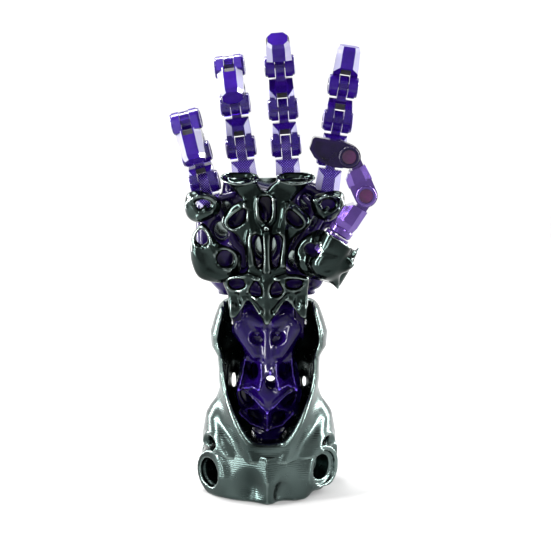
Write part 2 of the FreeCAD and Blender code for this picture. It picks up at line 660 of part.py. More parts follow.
def forearm_core():
    core = section_loft(CORE_SECTIONS, 0)
    half = CORE_NECK_HALF
    deep = CORE_NECK_HALF_DEPTH
    neck = box(-half, half, WRIST_Y - deep, WRIST_Y + deep, CORE_TOP - OVERLAP, WRIST_Z)
    barrel = cross_pin(BARREL_RADIUS, BARREL_HALF, WRIST_Y, WRIST_Z)
    core = core.fuse([neck, barrel])
    for x, z, radius in CORE_HOLES:
        core = core.cut(cylinder(radius, Vector(x, -REACH, z), Vector(x, REACH, z)))
    core = core.cut(cross_pin(WRIST_HOLE_RADIUS, REACH, WRIST_Y, WRIST_Z))
    return core.cut(bolt_holes()).removeSplitter()


def wrist_pin():
    pin = cross_pin(WRIST_PIN_RADIUS, WRIST_PIN_HALF, WRIST_Y, WRIST_Z)
    return pin.makeChamfer(WRIST_PIN_CHAMFER, round_edges(pin))


# ---- foot -----------------------------------------------------------------------------------
def socket_axis(socket):
    """Unit vector out of a tube socket's mouth."""
    t = math.radians(socket["tilt"])
    return Vector(socket["side"] * math.cos(t), -math.sin(t), 0)


def base_foot():
    foot = Part.makeLoft([plan_wire(FOOT_BOTTOM, 0), plan_wire(FOOT_TOP, FOOT_HEIGHT)], True, True)
    for socket in SOCKETS.values():
        mouth = Vector(*socket["mouth"])
        out = socket_axis(socket)
        foot = foot.fuse(cylinder(socket["lug"], mouth - out * LUG_INSIDE, mouth))
    for socket in SOCKETS.values():
        mouth = Vector(*socket["mouth"])
        out = socket_axis(socket)
        foot = foot.cut(cylinder(BORE_RADIUS, mouth - out * BORE_LENGTH, mouth + out * BORE_CLEAR))
    foot = foot.cut(bolt_holes())
    for x in (-BOLT_X, BOLT_X):
        foot = foot.cut(cylinder(BOLT_HEAD_POCKET, Vector(x, 0, -CLEAR), Vector(x, 0, BOLT_POCKET_DEPTH)))
    return foot.removeSplitter()


def bolt_holes():
    end = BOLT_TOP + BOLT_END_PLAY
    holes = [cylinder(BOLT_HOLE_RADIUS, Vector(x, 0, -CLEAR), Vector(x, 0, end)) for x in (-BOLT_X, BOLT_X)]
    return holes[0].fuse(holes[1])


def base_bolts():
    bolts = []
    for x in (-BOLT_X, BOLT_X):
        head_top = BOLT_POCKET_DEPTH - SEAT_GAP
        head = cylinder(BOLT_HEAD_RADIUS, Vector(x, 0, head_top - BOLT_HEAD_HEIGHT), Vector(x, 0, head_top))
        shank = cylinder(BOLT_RADIUS, Vector(x, 0, head_top - OVERLAP), Vector(x, 0, BOLT_TOP))
        bolts.append(head.fuse(shank).removeSplitter())
    return bolts


# ---- assembly -------------------------------------------------------------------------------
def finger_nodes(name):
    links = FINGERS[name]["links"]
    proximal, middle, distal = finger_places(name)
    base = placement(Vector(*FINGERS[name]["mcp"]), finger_across(name), finger_along(name))
    return {
        name + "_root": placed(finger_root(ROOT_LENGTH[name]), base),
        name + "_proximal": placed(phalanx(links[0]), proximal),
        name + "_middle": placed(phalanx(links[1], LAST_SHOULDER_CHAMFER), middle),
        name + "_distal": placed(fingertip(links[2]), distal),
        name + "_mcp_bumper": placed(bumper(), proximal),
        name + "_pip_bumper": placed(bumper(), middle),
        name + "_dip_bumper": placed(bumper(), distal),
        name + "_pip_pin": placed(hinge_pin(), middle),
        name + "_dip_pin": placed(hinge_pin(), distal),
    }


def thumb_nodes():
    metacarpal, proximal, distal = thumb_places()
    return {
        "thumb_root": placed(thumb_root_block(), metacarpal),
        "thumb_swivel_pin": placed(thumb_swivel_pin(), metacarpal),
        "thumb_metacarpal": placed(thumb_metacarpal(), metacarpal),
        "thumb_proximal": placed(phalanx(THUMB_LINKS[1]), proximal),
        "thumb_distal": placed(thumb_tip(), distal),
        "thumb_mcp_pin": placed(hinge_pin(), proximal),
        "thumb_ip_pin": placed(hinge_pin(), distal),
    }


def palm_nodes(thumb_block):
    holes = screw_holes(SCREW_RADIUS + SCREW_PLAY)
    mcp_pins = []
    for name in FINGERS:
        mcp_pins.append(placed(hinge_pin(), finger_places(name)[0]))
    return {
        "palm_frame": palm_frame().cut(holes),
        "palm_plate": palm_plate(),
        "pinky_knuckle_cover": flat_cover(PINKY_COVER_OUTLINE, [PINKY_COVER_HOLE], COVER_BACK - COVER_THICK),
        "index_knuckle_cover": flat_cover(INDEX_COVER_OUTLINE, [INDEX_COVER_HOLE], COVER_BACK - COVER_THICK),
        "heel_cover": flat_cover(HEEL_COVER_OUTLINE, HEEL_COVER_HOLES, HEEL_FRONT),
        "thumb_cover": thumb_cover(thumb_block),
        "dorsal_plate": dorsal_plate().cut(holes),
        "cover_screws": Part.makeCompound(cover_screws()),
        "mcp_pins": Part.makeCompound(mcp_pins),
    }


def forearm_nodes():
    return {
        "base_foot": base_foot(),
        "base_bolts": Part.makeCompound(base_bolts()),
        "forearm_cuff": forearm_cuff(),
        "forearm_core": forearm_core(),
        "wrist_pin": wrist_pin(),
    }


def all_nodes():
    nodes = forearm_nodes()
    thumb = thumb_nodes()
    nodes.update(palm_nodes(thumb["thumb_root"]))
    nodes.update(thumb)
    for name in FINGERS:
        nodes.update(finger_nodes(name))
    return nodes


os.makedirs("parts", exist_ok=True)
for node, shape in all_nodes().items():
    shape.exportStep(os.path.join("parts", node + ".step"))
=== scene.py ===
import math

import bpy
import numpy as np
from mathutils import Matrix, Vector


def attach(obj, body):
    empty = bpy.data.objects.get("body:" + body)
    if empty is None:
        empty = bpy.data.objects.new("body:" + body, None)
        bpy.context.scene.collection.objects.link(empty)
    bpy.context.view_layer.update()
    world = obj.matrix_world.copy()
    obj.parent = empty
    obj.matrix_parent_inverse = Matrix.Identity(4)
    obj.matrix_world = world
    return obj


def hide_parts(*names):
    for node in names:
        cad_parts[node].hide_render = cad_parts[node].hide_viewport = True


# Looks of the printed hand.  Nine printed shells and blocks are modelled as smooth fields in
# millimetres and turned into closed meshes.  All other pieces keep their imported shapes.
MM = 0.001
FINE, MIDDLE, COARSE = 0.7, 0.8, 1.0  # cells of the fields' grids
FAR = 200  # added to a distance where a cut is not to reach
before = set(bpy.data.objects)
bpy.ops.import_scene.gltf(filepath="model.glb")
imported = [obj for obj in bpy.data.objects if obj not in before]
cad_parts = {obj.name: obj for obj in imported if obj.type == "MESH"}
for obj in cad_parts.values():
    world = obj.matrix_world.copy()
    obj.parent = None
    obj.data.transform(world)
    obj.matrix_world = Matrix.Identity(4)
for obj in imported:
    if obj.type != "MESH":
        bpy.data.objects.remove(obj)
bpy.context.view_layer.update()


# ---- fields -----------------------------------------------------------------------------
def smooth_loop(points, steps=6):
    """Closed Catmull-Rom curve through the points, as an array of corners."""
    p = np.array(points, float)
    t = (np.arange(steps) / steps)[:, None]
    out = []
    for i in range(len(p)):
        a, b, c, d = p[i - 1], p[i], p[(i + 1) % len(p)], p[(i + 2) % len(p)]
        bend = (2 * a - 5 * b + 4 * c - d) * t**2 + (3 * b - a - 3 * c + d) * t**3
        out.append(0.5 * (2 * b + (c - a) * t + bend))
    return np.concatenate(out)


def loop_distance(points, u, v):
    """Signed distance in a plane to a rounded loop, negative inside."""
    loop = smooth_loop(points)
    best = np.full(u.shape, 1e9)
    inside = np.zeros(u.shape, bool)
    for (x0, y0), (x1, y1) in zip(loop, np.roll(loop, -1, 0)):
        dx, dy = x1 - x0, y1 - y0
        t = np.clip(((u - x0) * dx + (v - y0) * dy) / (dx * dx + dy * dy + 1e-12), 0, 1)
        best = np.minimum(best, (u - x0 - t * dx) ** 2 + (v - y0 - t * dy) ** 2)
        if y0 != y1:
            inside ^= ((y0 > v) != (y1 > v)) & (u < (x1 - x0) * (v - y0) / (y1 - y0) + x0)
    return np.where(inside, -1, 1) * np.sqrt(best)


def path_distance(points, u, v):
    """Distance in a plane to an open line through the points."""
    best = np.full(u.shape, 1e9)
    for (x0, y0), (x1, y1) in zip(points, points[1:]):
        dx, dy = x1 - x0, y1 - y0
        t = np.clip(((u - x0) * dx + (v - y0) * dy) / (dx * dx + dy * dy), 0, 1)
        best = np.minimum(best, np.hypot(u - x0 - t * dx, v - y0 - t * dy))
    return best


def smooth_min(a, b, k):
    h = np.clip(0.5 + 0.5 * (b - a) / k, 0, 1)
    return b + (a - b) * h - k * h * (1 - h)


def smooth_max(a, b, k):
    return -smooth_min(-a, -b, k)


def bump(distance, width):
    return np.exp(-(distance / width) ** 2)


def capsule(x, y, z, start, end, r0, r1):
    """Round rod whose radius runs from r0 to r1."""
    a, b = np.array(start, float), np.array(end, float)
    d = b - a
    t = np.clip(((x - a[0]) * d[0] + (y - a[1]) * d[1] + (z - a[2]) * d[2]) / (d @ d), 0, 1)
    away = np.sqrt(sum((v - s - t * e) ** 2 for v, s, e in zip((x, y, z), a, d)))
    return away - (r0 + (r1 - r0) * t)


def rod(x, y, z, start, end, radius):
    """Flat-ended cylinder."""
    a, b = np.array(start, float), np.array(end, float)
    length = np.linalg.norm(b - a)
    n = (b - a) / length
    t = (x - a[0]) * n[0] + (y - a[1]) * n[1] + (z - a[2]) * n[2]
    away = np.sqrt(np.maximum((x - a[0]) ** 2 + (y - a[1]) ** 2 + (z - a[2]) ** 2 - t**2, 0))
    return np.maximum(away - radius, np.maximum(-t, t - length))


def ellipsoid(x, y, z, centre, radii):
    q = np.sqrt(sum(((v - c) / r) ** 2 for v, c, r in zip((x, y, z), centre, radii)))
    return (q - 1) * min(radii)


def sheet_field(distance, off, half, edge):
    """Plate with a rounded edge, from the distances to its outline and its middle surface."""
    inward = np.maximum(0, distance + edge) / edge
    return (np.hypot(inward, off / half) - 1) * np.minimum(edge, half)


def grid(low, high, cell):
    axes = [np.arange(a, b + cell, cell) for a, b in zip(low, high)]
    return np.meshgrid(*axes, indexing="ij")


def surface_net(field):
    """Vertices, in cells, and quads of the field's zero surface."""
    inside = field < 0
    size = field.shape
    total = np.zeros((size[0] - 1, size[1] - 1, size[2] - 1, 3))
    count = np.zeros(total.shape[:3])

    def part(array, c):
        return array[tuple(slice(c[n], size[n] - 1 + c[n]) for n in range(3))]

    for a in np.ndindex(2, 2, 2):
        for axis in range(3):
            if a[axis]:
                continue
            b = tuple(v + (n == axis) for n, v in enumerate(a))
            fa, fb = part(field, a), part(field, b)
            cross = part(inside, a) != part(inside, b)
            t = np.where(cross, fa / np.where(cross, fa - fb, 1), 0)
            for n in range(3):
                total[..., n] += np.where(cross, a[n] + (t if n == axis else 0), 0)
            count += cross
    used = count > 0
    number = np.full(used.shape, -1)
    number[used] = np.arange(used.sum())
    verts = np.argwhere(used) + total[used] / count[used][:, None]
    quads = []
    for axis in range(3):
        u, w = (axis + 1) % 3, (axis + 2) % 3
        lo, hi = [slice(None)] * 3, [slice(None)] * 3
        lo[axis], hi[axis] = slice(0, -1), slice(1, None)
        starts = np.argwhere(inside[tuple(lo)] != inside[tuple(hi)])
        flip = inside[tuple(starts.T)]
        ring = []
        for du, dw in ((1, 1), (0, 1), (0, 0), (1, 0)):
            place = starts.copy()
            place[:, u] -= du
            place[:, w] -= dw
            ring.append(number[tuple(place.T)])
        quad = np.stack(ring, 1)
        quad[~flip] = quad[~flip][:, ::-1]
        quads.append(quad)
    return verts, np.concatenate(quads)


def sample(array, at):
    """Array values between grid points."""
    q = np.clip(at, 0, np.array(array.shape[:3]) - 1.001)
    i = q.astype(int)
    f = q - i
    out = 0
    for c in np.ndindex(2, 2, 2):
        w = np.prod([f[:, n] if c[n] else 1 - f[:, n] for n in range(3)], 0)
        out = out + w[:, None] * array[i[:, 0] + c[0], i[:, 1] + c[1], i[:, 2] + c[2]]
    return out


def field_mesh(name, field, low, cell):
    """Closed smooth mesh of the field's zero surface."""
    field = np.pad(field, 1, constant_values=2.0)
    low = np.array(low) - cell
    verts, quads = surface_net(field)
    slope = np.stack(np.gradient(field), -1)
    for _ in range(2):
        n = sample(slope, verts)
        step = sample(field[..., None], verts) * n / (np.sum(n * n, 1)[:, None] + 1e-6)
        verts = verts - np.clip(step, -0.5, 0.5)
    mesh = bpy.data.meshes.new(name)
    mesh.vertices.add(len(verts))
    places = (verts * cell + low) * MM
    mesh.vertices.foreach_set("co", places.astype(np.float32).ravel())
    mesh.loops.add(4 * len(quads))
    mesh.loops.foreach_set("vertex_index", quads.ravel().astype(np.int32))
    mesh.polygons.add(len(quads))
    mesh.polygons.foreach_set("loop_start", np.arange(0, 4 * len(quads), 4, dtype=np.int32))
    mesh.polygons.foreach_set("use_smooth", np.ones(len(quads), bool))
    mesh.update(calc_edges=True)
    mesh.validate()
    obj = bpy.data.objects.new(name, mesh)
    bpy.context.scene.collection.objects.link(obj)
    return obj


def shell(x, y, z, outline, holes, mid, half, edge, rim=1.0):
    """Field of a bowed plate with raised rims round its holes; mid is its middle surface's y."""
    flat_x, flat_z = x[:, 0, :], z[:, 0, :]
    distance = loop_distance(outline, flat_x, flat_z)
    lift = np.zeros(flat_x.shape)
    for hole in holes:
        away = loop_distance(hole, flat_x, flat_z)
        lift = np.maximum(lift, rim * bump(away - 1.8, 1.7))
        distance = smooth_max(distance, -away, 0.8)
    cell = flat_x[1, 0] - flat_x[0, 0]
    slope_x, slope_z = np.gradient(mid, cell)
    off = (y - mid[:, None, :]) / np.sqrt(1 + slope_x**2 + slope_z**2)[:, None, :]
    return sheet_field(distance[:, None, :], off, half + lift[:, None, :], edge)


def bowed(x, front, half, radius=62.0):
    """Middle surface of a shell bowed about a vertical line."""
    return front + half + radius - np.sqrt(radius**2 - x**2)


def near(x, z, points, width):
    return bump(path_distance(points, x, z), width)


def raise_lines(mid, x, z, lines):
    """Moves a middle surface to the front along lines of (path, height, width)."""
    for path, height, width in lines:
        mid = mid - height * near(x, z, path, width)
    return mid


# ---- palm shells ------------------------------------------------------------------------
PLATE = [
    (-24, 203), (-16, 203), (-8, 200), (-2.5, 195.5), (2.5, 200), (12, 203), (22, 203),
    (22, 198.5), (17, 193.5), (14.5, 189.5), (19, 186), (25.5, 179.5), (26.5, 175), (22.5, 170),
    (17, 167), (13.5, 162.5), (12, 156.5), (11, 149), (12, 144), (19.5, 143), (25.5, 140),
    (24.5, 132), (24.8, 123), (24, 115.5), (20, 115.5), (15.5, 121.5), (10.5, 126), (4.5, 118),
    (-1.2, 110.8), (-6.5, 118), (-12.5, 126), (-16.5, 121.5), (-20.5, 115.5), (-25, 115.5),
    (-25.5, 123), (-26, 130), (-29, 137), (-27, 141), (-20, 143.5), (-14, 145), (-13.5, 152.5),
    (-16, 160.5), (-19.5, 167), (-24, 169.5), (-28.5, 172), (-29.5, 177), (-24.5, 185),
    (-17, 190), (-19, 193.5), (-22, 198),
]
TEAR_LEFT = [
    (-14.5, 183.5), (-18, 182.5), (-22, 179.5), (-24.8, 176), (-23.5, 173), (-19.5, 173.6),
    (-16, 177),
]
TEAR_RIGHT = [(12.5, 183.5), (11.8, 179), (14.5, 175), (18, 173.2), (21, 175.2), (17.8, 179.8)]
HEART = [(-5.2, 190), (-2, 191.5), (1, 190), (1, 181), (-1.8, 177.5), (-4.8, 181)]
SLOT_LEFT = [
    (-10.3, 165.5), (-8.4, 168), (-5.8, 166.5), (-4.4, 157), (-5, 149), (-7, 148.6), (-8.6, 156),
]
SLOT_RIGHT = [
    (2.8, 166), (5.2, 168), (7.8, 165.5), (6.8, 156), (5.2, 148.8), (2.8, 149), (2.0, 157),
]
NOSTRIL_LEFT = [(-8, 138.5), (-5.4, 134.5), (-5.5, 130.5), (-10, 129.8), (-11.6, 133.5)]
NOSTRIL_RIGHT = [(4.6, 138.5), (8, 134.5), (7.5, 131), (3, 130.2), (1.5, 133.5)]
EYE_LEFT = [(-25, 137), (-20.5, 139.6), (-15.5, 138.3), (-16.5, 135), (-22, 133.8)]
EYE_RIGHT = [(11, 138.3), (16.5, 139.6), (21, 137.8), (18.5, 134.8), (13, 135)]
PLATE_HOLES = [
    TEAR_LEFT, TEAR_RIGHT, HEART, SLOT_LEFT, SLOT_RIGHT,
    NOSTRIL_LEFT, NOSTRIL_RIGHT, EYE_LEFT, EYE_RIGHT,
]
PLATE_LINES = [
    ([(-1.2, 172), (-1.2, 146)], 2.6, 2.2),
    ([(-14, 187), (-10, 172), (-12, 150)], 1.8, 2.4),
    ([(11, 187), (8.5, 172), (9.5, 150)], 1.8, 2.4),
    ([(-6.5, 190), (-6.5, 178), (-2, 173)], 1.2, 1.6),
    ([(3, 190), (3, 178), (-1, 173)], 1.2, 1.6),
    ([(-1.2, 142), (-1.2, 113)], 1.6, 2.4),
    ([(-5, 120), (-13, 130)], -2.6, 2.4),
    ([(3, 120), (11, 130)], -2.6, 2.4),
    ([(-28, 141), (-13, 143), (-7, 141)], 1.5, 1.6),
    ([(24, 141), (12, 143), (5, 141)], 1.5, 1.6),
    ([(-20, 130), (-19, 124)], -2.2, 3),
    ([(18, 130), (17, 124)], -2.2, 3),
    ([(-23.5, 113), (-23, 122)], 2.2, 3),
    ([(22.5, 113), (22, 122)], 2.2, 3),
]
HORN_Y, HORN_Z = -17, 203.2  # middle of the horns' mouths
HORN_LEAN = math.radians(25)


def horn(x, y, z, side):
    """Flared cup with an oval dished mouth that leans to the front."""
    up = (y - HORN_Y) * -math.sin(HORN_LEAN) + (z - HORN_Z) * math.cos(HORN_LEAN)
    back = (y - HORN_Y) * math.cos(HORN_LEAN) + (z - HORN_Z) * math.sin(HORN_LEAN)
    middle = side * 17.4 - 0.6 + side * 0.42 * np.minimum(up, 0)
    flare = np.exp(np.clip(up, -40, 2) / 6.5)
    away = np.hypot((x - middle) / (4.6 + 7.6 * flare), back / (4.2 + 3.6 * flare)) - 1
    outer = smooth_max(away * 6, up - 0.1 * np.abs(x - middle), 1.0)
    outer = smooth_max(outer, -25 - up, 4)
    funnel = np.exp(np.clip(up, -30, 3) / 2.6)
    hole = (np.hypot((x - middle) / (4.2 + 6.2 * funnel), back / (2.6 + 3.4 * funnel)) - 1) * 4
    return smooth_max(outer, -smooth_max(hole, -15 - up, 2), 0.8)


def palm_plate():
    """Pierced plate with a ridge down its middle and two horns at its upper edge."""
    low = (-34, -34, 108)
    x, y, z = grid(low, (33, -6, 212), FINE)
    fx, fz = x[:, 0, :], z[:, 0, :]
    mid = bowed(fx, -23.0, 2.5)
    mid += 4.5 * bump(fx + 2, 6) / (1 + np.exp((192 - fz) / 3))
    mid = raise_lines(mid, fx, fz, PLATE_LINES)
    plate = shell(x, y, z, PLATE, PLATE_HOLES, mid, 2.1, 2.2, 0.7)
    horns = np.minimum(horn(x, y, z, -1), horn(x, y, z, 1))
    return field_mesh("palm_plate_shell", smooth_min(plate, horns, 2.5), low, FINE)


COVER_HALF, COVER_EDGE, COVER_RIM = 2.6, 4.5, 0.8


def cover(name, outline, holes, centre, front, fall, lines):
    """Rounded shell that falls back from its crown at centre."""
    o = np.array(outline, float)
    low = (o[:, 0].min() - 5, front - 7, o[:, 1].min() - 5)
    x, y, z = grid(low, (o[:, 0].max() + 5, front + 17, o[:, 1].max() + 5), FINE)
    fx, fz = x[:, 0, :], z[:, 0, :]
    mid = front + COVER_HALF + fall * ((fx - centre[0]) ** 2 + 0.8 * (fz - centre[1]) ** 2)
    mid = raise_lines(mid, fx, fz, lines)
    field = shell(x, y, z, outline, holes, mid, COVER_HALF, COVER_EDGE, COVER_RIM)
    return field_mesh(name, field, low, FINE)


PINKY_COVER = [
    (-50.5, 193), (-44, 195), (-37, 193.5), (-31, 190), (-29.5, 185.5), (-32, 180), (-39.5, 176),
    (-45.5, 175), (-51, 178.5), (-52.5, 186),
]
PINKY_HOLE = [
    (-45.5, 187.6), (-41, 189.4), (-37, 188.3), (-36, 186), (-38, 184.6), (-39.5, 186.4),
    (-43, 184),
]
INDEX_COVER = [
    (26.5, 191), (34, 194), (42.5, 195), (47, 192), (46.5, 184.5), (43, 179.5), (38.5, 176),
    (33, 176.5), (28.5, 180), (26, 186),
]
INDEX_HOLE = [
    (32.5, 187), (35, 189.4), (39.5, 189), (41, 186.4), (38.4, 184), (36.3, 186), (34.3, 184),
]
HEEL_COVER = [
    (-41.3, 175), (-37, 171.5), (-31.5, 163.5), (-24, 160), (-17.8, 156), (-17, 149),
    (-19.5, 140.5), (-25, 138), (-31, 137), (-38, 138), (-44.5, 141), (-48, 149), (-49, 157),
    (-48, 166.5), (-45, 171.5),
]
HEEL_HOLES = [
    [(-42, 171), (-38.8, 168.5), (-38, 164.5), (-41, 162), (-45, 164), (-45, 168)],
    [(-30, 157), (-26.5, 158), (-23, 155.5), (-22.5, 151), (-26, 148.6), (-30.5, 149.5),
     (-32, 153.5)],
]
THUMB_COVER = [
    (32.6, 171.5), (36, 166), (40.5, 160), (47, 157), (51, 156), (52, 149), (47.5, 140),
    (43.5, 134.5), (39, 137), (33, 139), (26, 141), (18.5, 145.5), (16, 153), (17, 161),
    (24, 168),
]
THUMB_HOLE = [(22.3, 160.3), (25.3, 163.0), (28.8, 162.0), (30, 159.2), (28, 156.6), (24.2, 156.9)]


THUMB_LINES = [
    ([(21, 153), (31, 151), (42, 147)], 1.3, 2.4), ([(22, 148), (31, 145), (38, 140)], 1.0, 2.4),
]
THUMB_GROOVES = [((29, -42, 161), (50, -41, 157)), ((35, -40, 149), (51, -39, 151))]
# the crest and three spurs: start, end, the radii there and how softly they join
THUMB_SPURS = [
    ((31, -29, 167), (50, -33, 152), 3.0, 2.4, 2.5),
    ((46, -29, 151), (55.5, -27, 161.5), 5.0, 0.7, 4),
    ((38, -28, 148), (43, -25, 135.5), 6.0, 0.8, 4),
    ((30, -22, 160), (33, -24, 171.5), 4.5, 0.9, 3),
]
THUMB_LEAN = math.radians(33)  # of the thumb's first link, from upright to the right
THUMB_MOUTH = (43, -30, 170)


def thumb_cover():
    """Cover plate that swells into a sleeve round the thumb's bearing block, with spurs."""
    low = (11, -44, 128)
    x, y, z = grid(low, (59, -8, 176), FINE)
    fx, fz = x[:, 0, :], z[:, 0, :]
    mid = -22.0 + 0.014 * ((fx - 33) ** 2 + 0.8 * (fz - 154) ** 2)
    mid = raise_lines(mid, fx, fz, THUMB_LINES)
    plate = shell(x, y, z, THUMB_COVER, [], mid, 2.8, 4.0, 0.8)
    sleeve = capsule(x, y, z, (35, -29.0, 152), (43, -30.5, 168.5), 10.4, 10.9)
    body = smooth_min(plate, sleeve, 6)
    for start, end in THUMB_GROOVES:
        body = smooth_max(body, -capsule(x, y, z, start, end, 2.2, 1.4), 2.0)
    for start, end, r0, r1, soft in THUMB_SPURS:
        body = smooth_min(body, capsule(x, y, z, start, end, r0, r1), soft)
    mx, my, mz = THUMB_MOUTH
    along = (x - mx) * math.sin(THUMB_LEAN) + (z - mz) * math.cos(THUMB_LEAN)
    mouth = along + 3.0 + 0.12 * (y - my)
    aside = np.hypot(y - my, (x - mx) * 0.84 - (z - mz) * 0.545)
    body = smooth_max(body, np.where(aside < 15, mouth, -9), 0.8)
    body = smooth_max(body, -rod(x, y, z, (34.2, -30, 156.5), (46, -30, 174.6), 8.2), 0.5)
    opening = loop_distance(THUMB_HOLE, fx, fz)[:, None, :] + np.where(y > -16, FAR, 0)
    body = smooth_max(body, -opening, 1.6)
    return field_mesh("thumb_cover_shell", body, low, FINE)


WRIST_Y, WRIST_Z = 2, 109
WRIST_BORE = 3.56  # radius
FRAME = [
    (-27, 126), (-33, 130), (-40, 138), (-45, 150), (-46.5, 163), (-46, 178), (-45, 187),
    (-31.5, 190), (-27, 203), (-14, 204), (-8, 198), (2.5, 196), (10, 203), (21, 204), (29, 198),
    (44, 193), (46, 182), (45, 168), (39, 150), (34, 139), (29, 131), (25, 126),
]
# x, z and size
FRAME_DIMPLES = [
    (-30, 168, 7), (-27, 182, 6), (-17, 149, 6), (17, 150, 7), (28, 173, 6), (24, 187, 6),
    (-8, 178, 5), (-2, 158, 9), (38, 165, 6), (-20, 197, 5), (17, 197, 5), (-2, 140, 8),
]
FRAME_STRUTS = [
    [(-33, 186), (-25, 172), (-21, 160)], [(-24, 165), (-17, 157), (-16, 147)],
    [(27, 182), (22, 168), (16, 158)], [(33, 176), (28, 168), (19, 163)],
    [(-30, 190), (-22, 192)], [(22, 190), (29, 183)], [(17, 147), (24, 143)],
]


def palm_frame():
    """Dark openwork block behind the shells, with the two wrist ears."""
    low = (-51, -17, 95)
    x, y, z = grid(low, (51, 15, 208), COARSE)
    fx, fz = x[:, 0, :], z[:, 0, :]
    distance = loop_distance(FRAME, fx, fz)
    for dx, dz, r in FRAME_DIMPLES:
        distance = smooth_max(distance, r - 2.5 - np.hypot(fx - dx, (fz - dz) * 0.8), 3)
    front = 8.0 * bump(np.maximum(0, distance + 14), 9)
    field = sheet_field(distance[:, None, :], y - 2, np.full(distance.shape, 8.4)[:, None, :], 6)
    field = smooth_max(field, -(y + 8 - 0.2 * front[:, None, :]), 2)
    for path in FRAME_STRUTS:
        for (x0, z0), (x1, z1) in zip(path, path[1:]):
            field = smooth_min(field, capsule(x, y, z, (x0, -8, z0), (x1, -8, z1), 2.0, 2.0), 2.5)
    for side in (-1, 1):
        flank = capsule(x, y, z, (side * 29, -4, 136), (side * 36, -3, 149), 5, 5)
        field = smooth_min(field, flank, 4)
        arm = np.maximum(np.abs(y) - 8, np.maximum(WRIST_Z - z, z - 132))
        arm = np.maximum(np.abs(x - side * 19.5) - 3, arm)
        ear = rod(x, y, z, (side * 16.5, WRIST_Y, WRIST_Z), (side * 22.5, WRIST_Y, WRIST_Z), 11.5)
        field = smooth_min(field, smooth_min(arm, ear, 1.5), 2)
    field = smooth_max(field, WRIST_BORE - np.hypot(y - WRIST_Y, z - WRIST_Z), 0.1)
    field = smooth_max(field, -(np.maximum(np.abs(x) - 16.3, z - 124.5)), 0.5)
    return field_mesh("palm_frame_shell", field, low, COARSE)


def palm_covers():
    return {
        "pinky_knuckle_cover": cover(
            "pinky_cover_shell", PINKY_COVER, [PINKY_HOLE], (-40, 185), -18.5, 0.028,
            [([(-49, 189), (-41, 193), (-33, 189)], 1.2, 1.6),
             ([(-44, 178), (-36, 182)], 1.0, 2.0)],
        ),
        "index_knuckle_cover": cover(
            "index_cover_shell", INDEX_COVER, [INDEX_HOLE], (36.5, 185), -18.5, 0.028,
            [([(28, 189), (36, 192), (44, 190)], 1.2, 1.6),
             ([(35, 179), (43, 183)], 1.0, 2.0)],
        ),
        "heel_cover": cover(
            "heel_cover_shell", HEEL_COVER, HEEL_HOLES, (-33, 156), -22.5, 0.016,
            [([(-41, 173), (-36, 161), (-25, 146)], 1.4, 2.2),
             ([(-46, 158), (-40, 146), (-30, 141)], 1.0, 2.5)],
        ),
        "thumb_cover": thumb_cover(),
    }


# ---- forearm ----------------------------------------------------------------------------
CUFF_HALF = 1.7  # half the wall
CUFF_POWER = 2.3  # of its rounded outline in plan, where 2 is an ellipse
# half widths and half depths at these heights
CUFF_HEIGHTS = [24.0, 28.3, 36.0, 49.0, 59.0, 67.0, 79.0, 88.0, 95.0, 104.0, 113.0, 125.0]
CUFF_WIDTHS = [43.0, 43.0, 42.3, 39.8, 34.8, 31.6, 31.0, 31.8, 36.4, 37.2, 34.5, 29.5]
CUFF_DEPTHS = [38.0, 37.0, 35.2, 32.4, 30.6, 29.4, 28.7, 28.7, 29.3, 29.2, 28.7, 26.5]
CUFF_OPENING = [
    (-1, 37.5), (8, 38.5), (13, 43), (17.5, 50), (22.5, 59), (26.5, 68), (28, 77), (28.5, 89),
    (31, 99), (30.5, 108), (28, 119), (26, 133), (-27, 133), (-28.5, 119), (-31, 108), (-32, 99),
    (-29.5, 89), (-28.5, 77), (-27, 68), (-23.5, 59), (-18.5, 50), (-14, 43), (-9, 38.5),
]
SIDE_ARCH = [(-24, 33), (-21, 37), (-16, 37), (-13, 33.5), (-15, 30), (-21, 29.5)]  # y and z
# x, z, radius and squash
REAR_WINDOWS = [(1, 67, 6, 0.8), (-23.5, 65, 1.2, 0.22), (23.3, 64, 1.0, 0.26)]


def section(z, heights, values):
    return np.interp(z, heights, values)


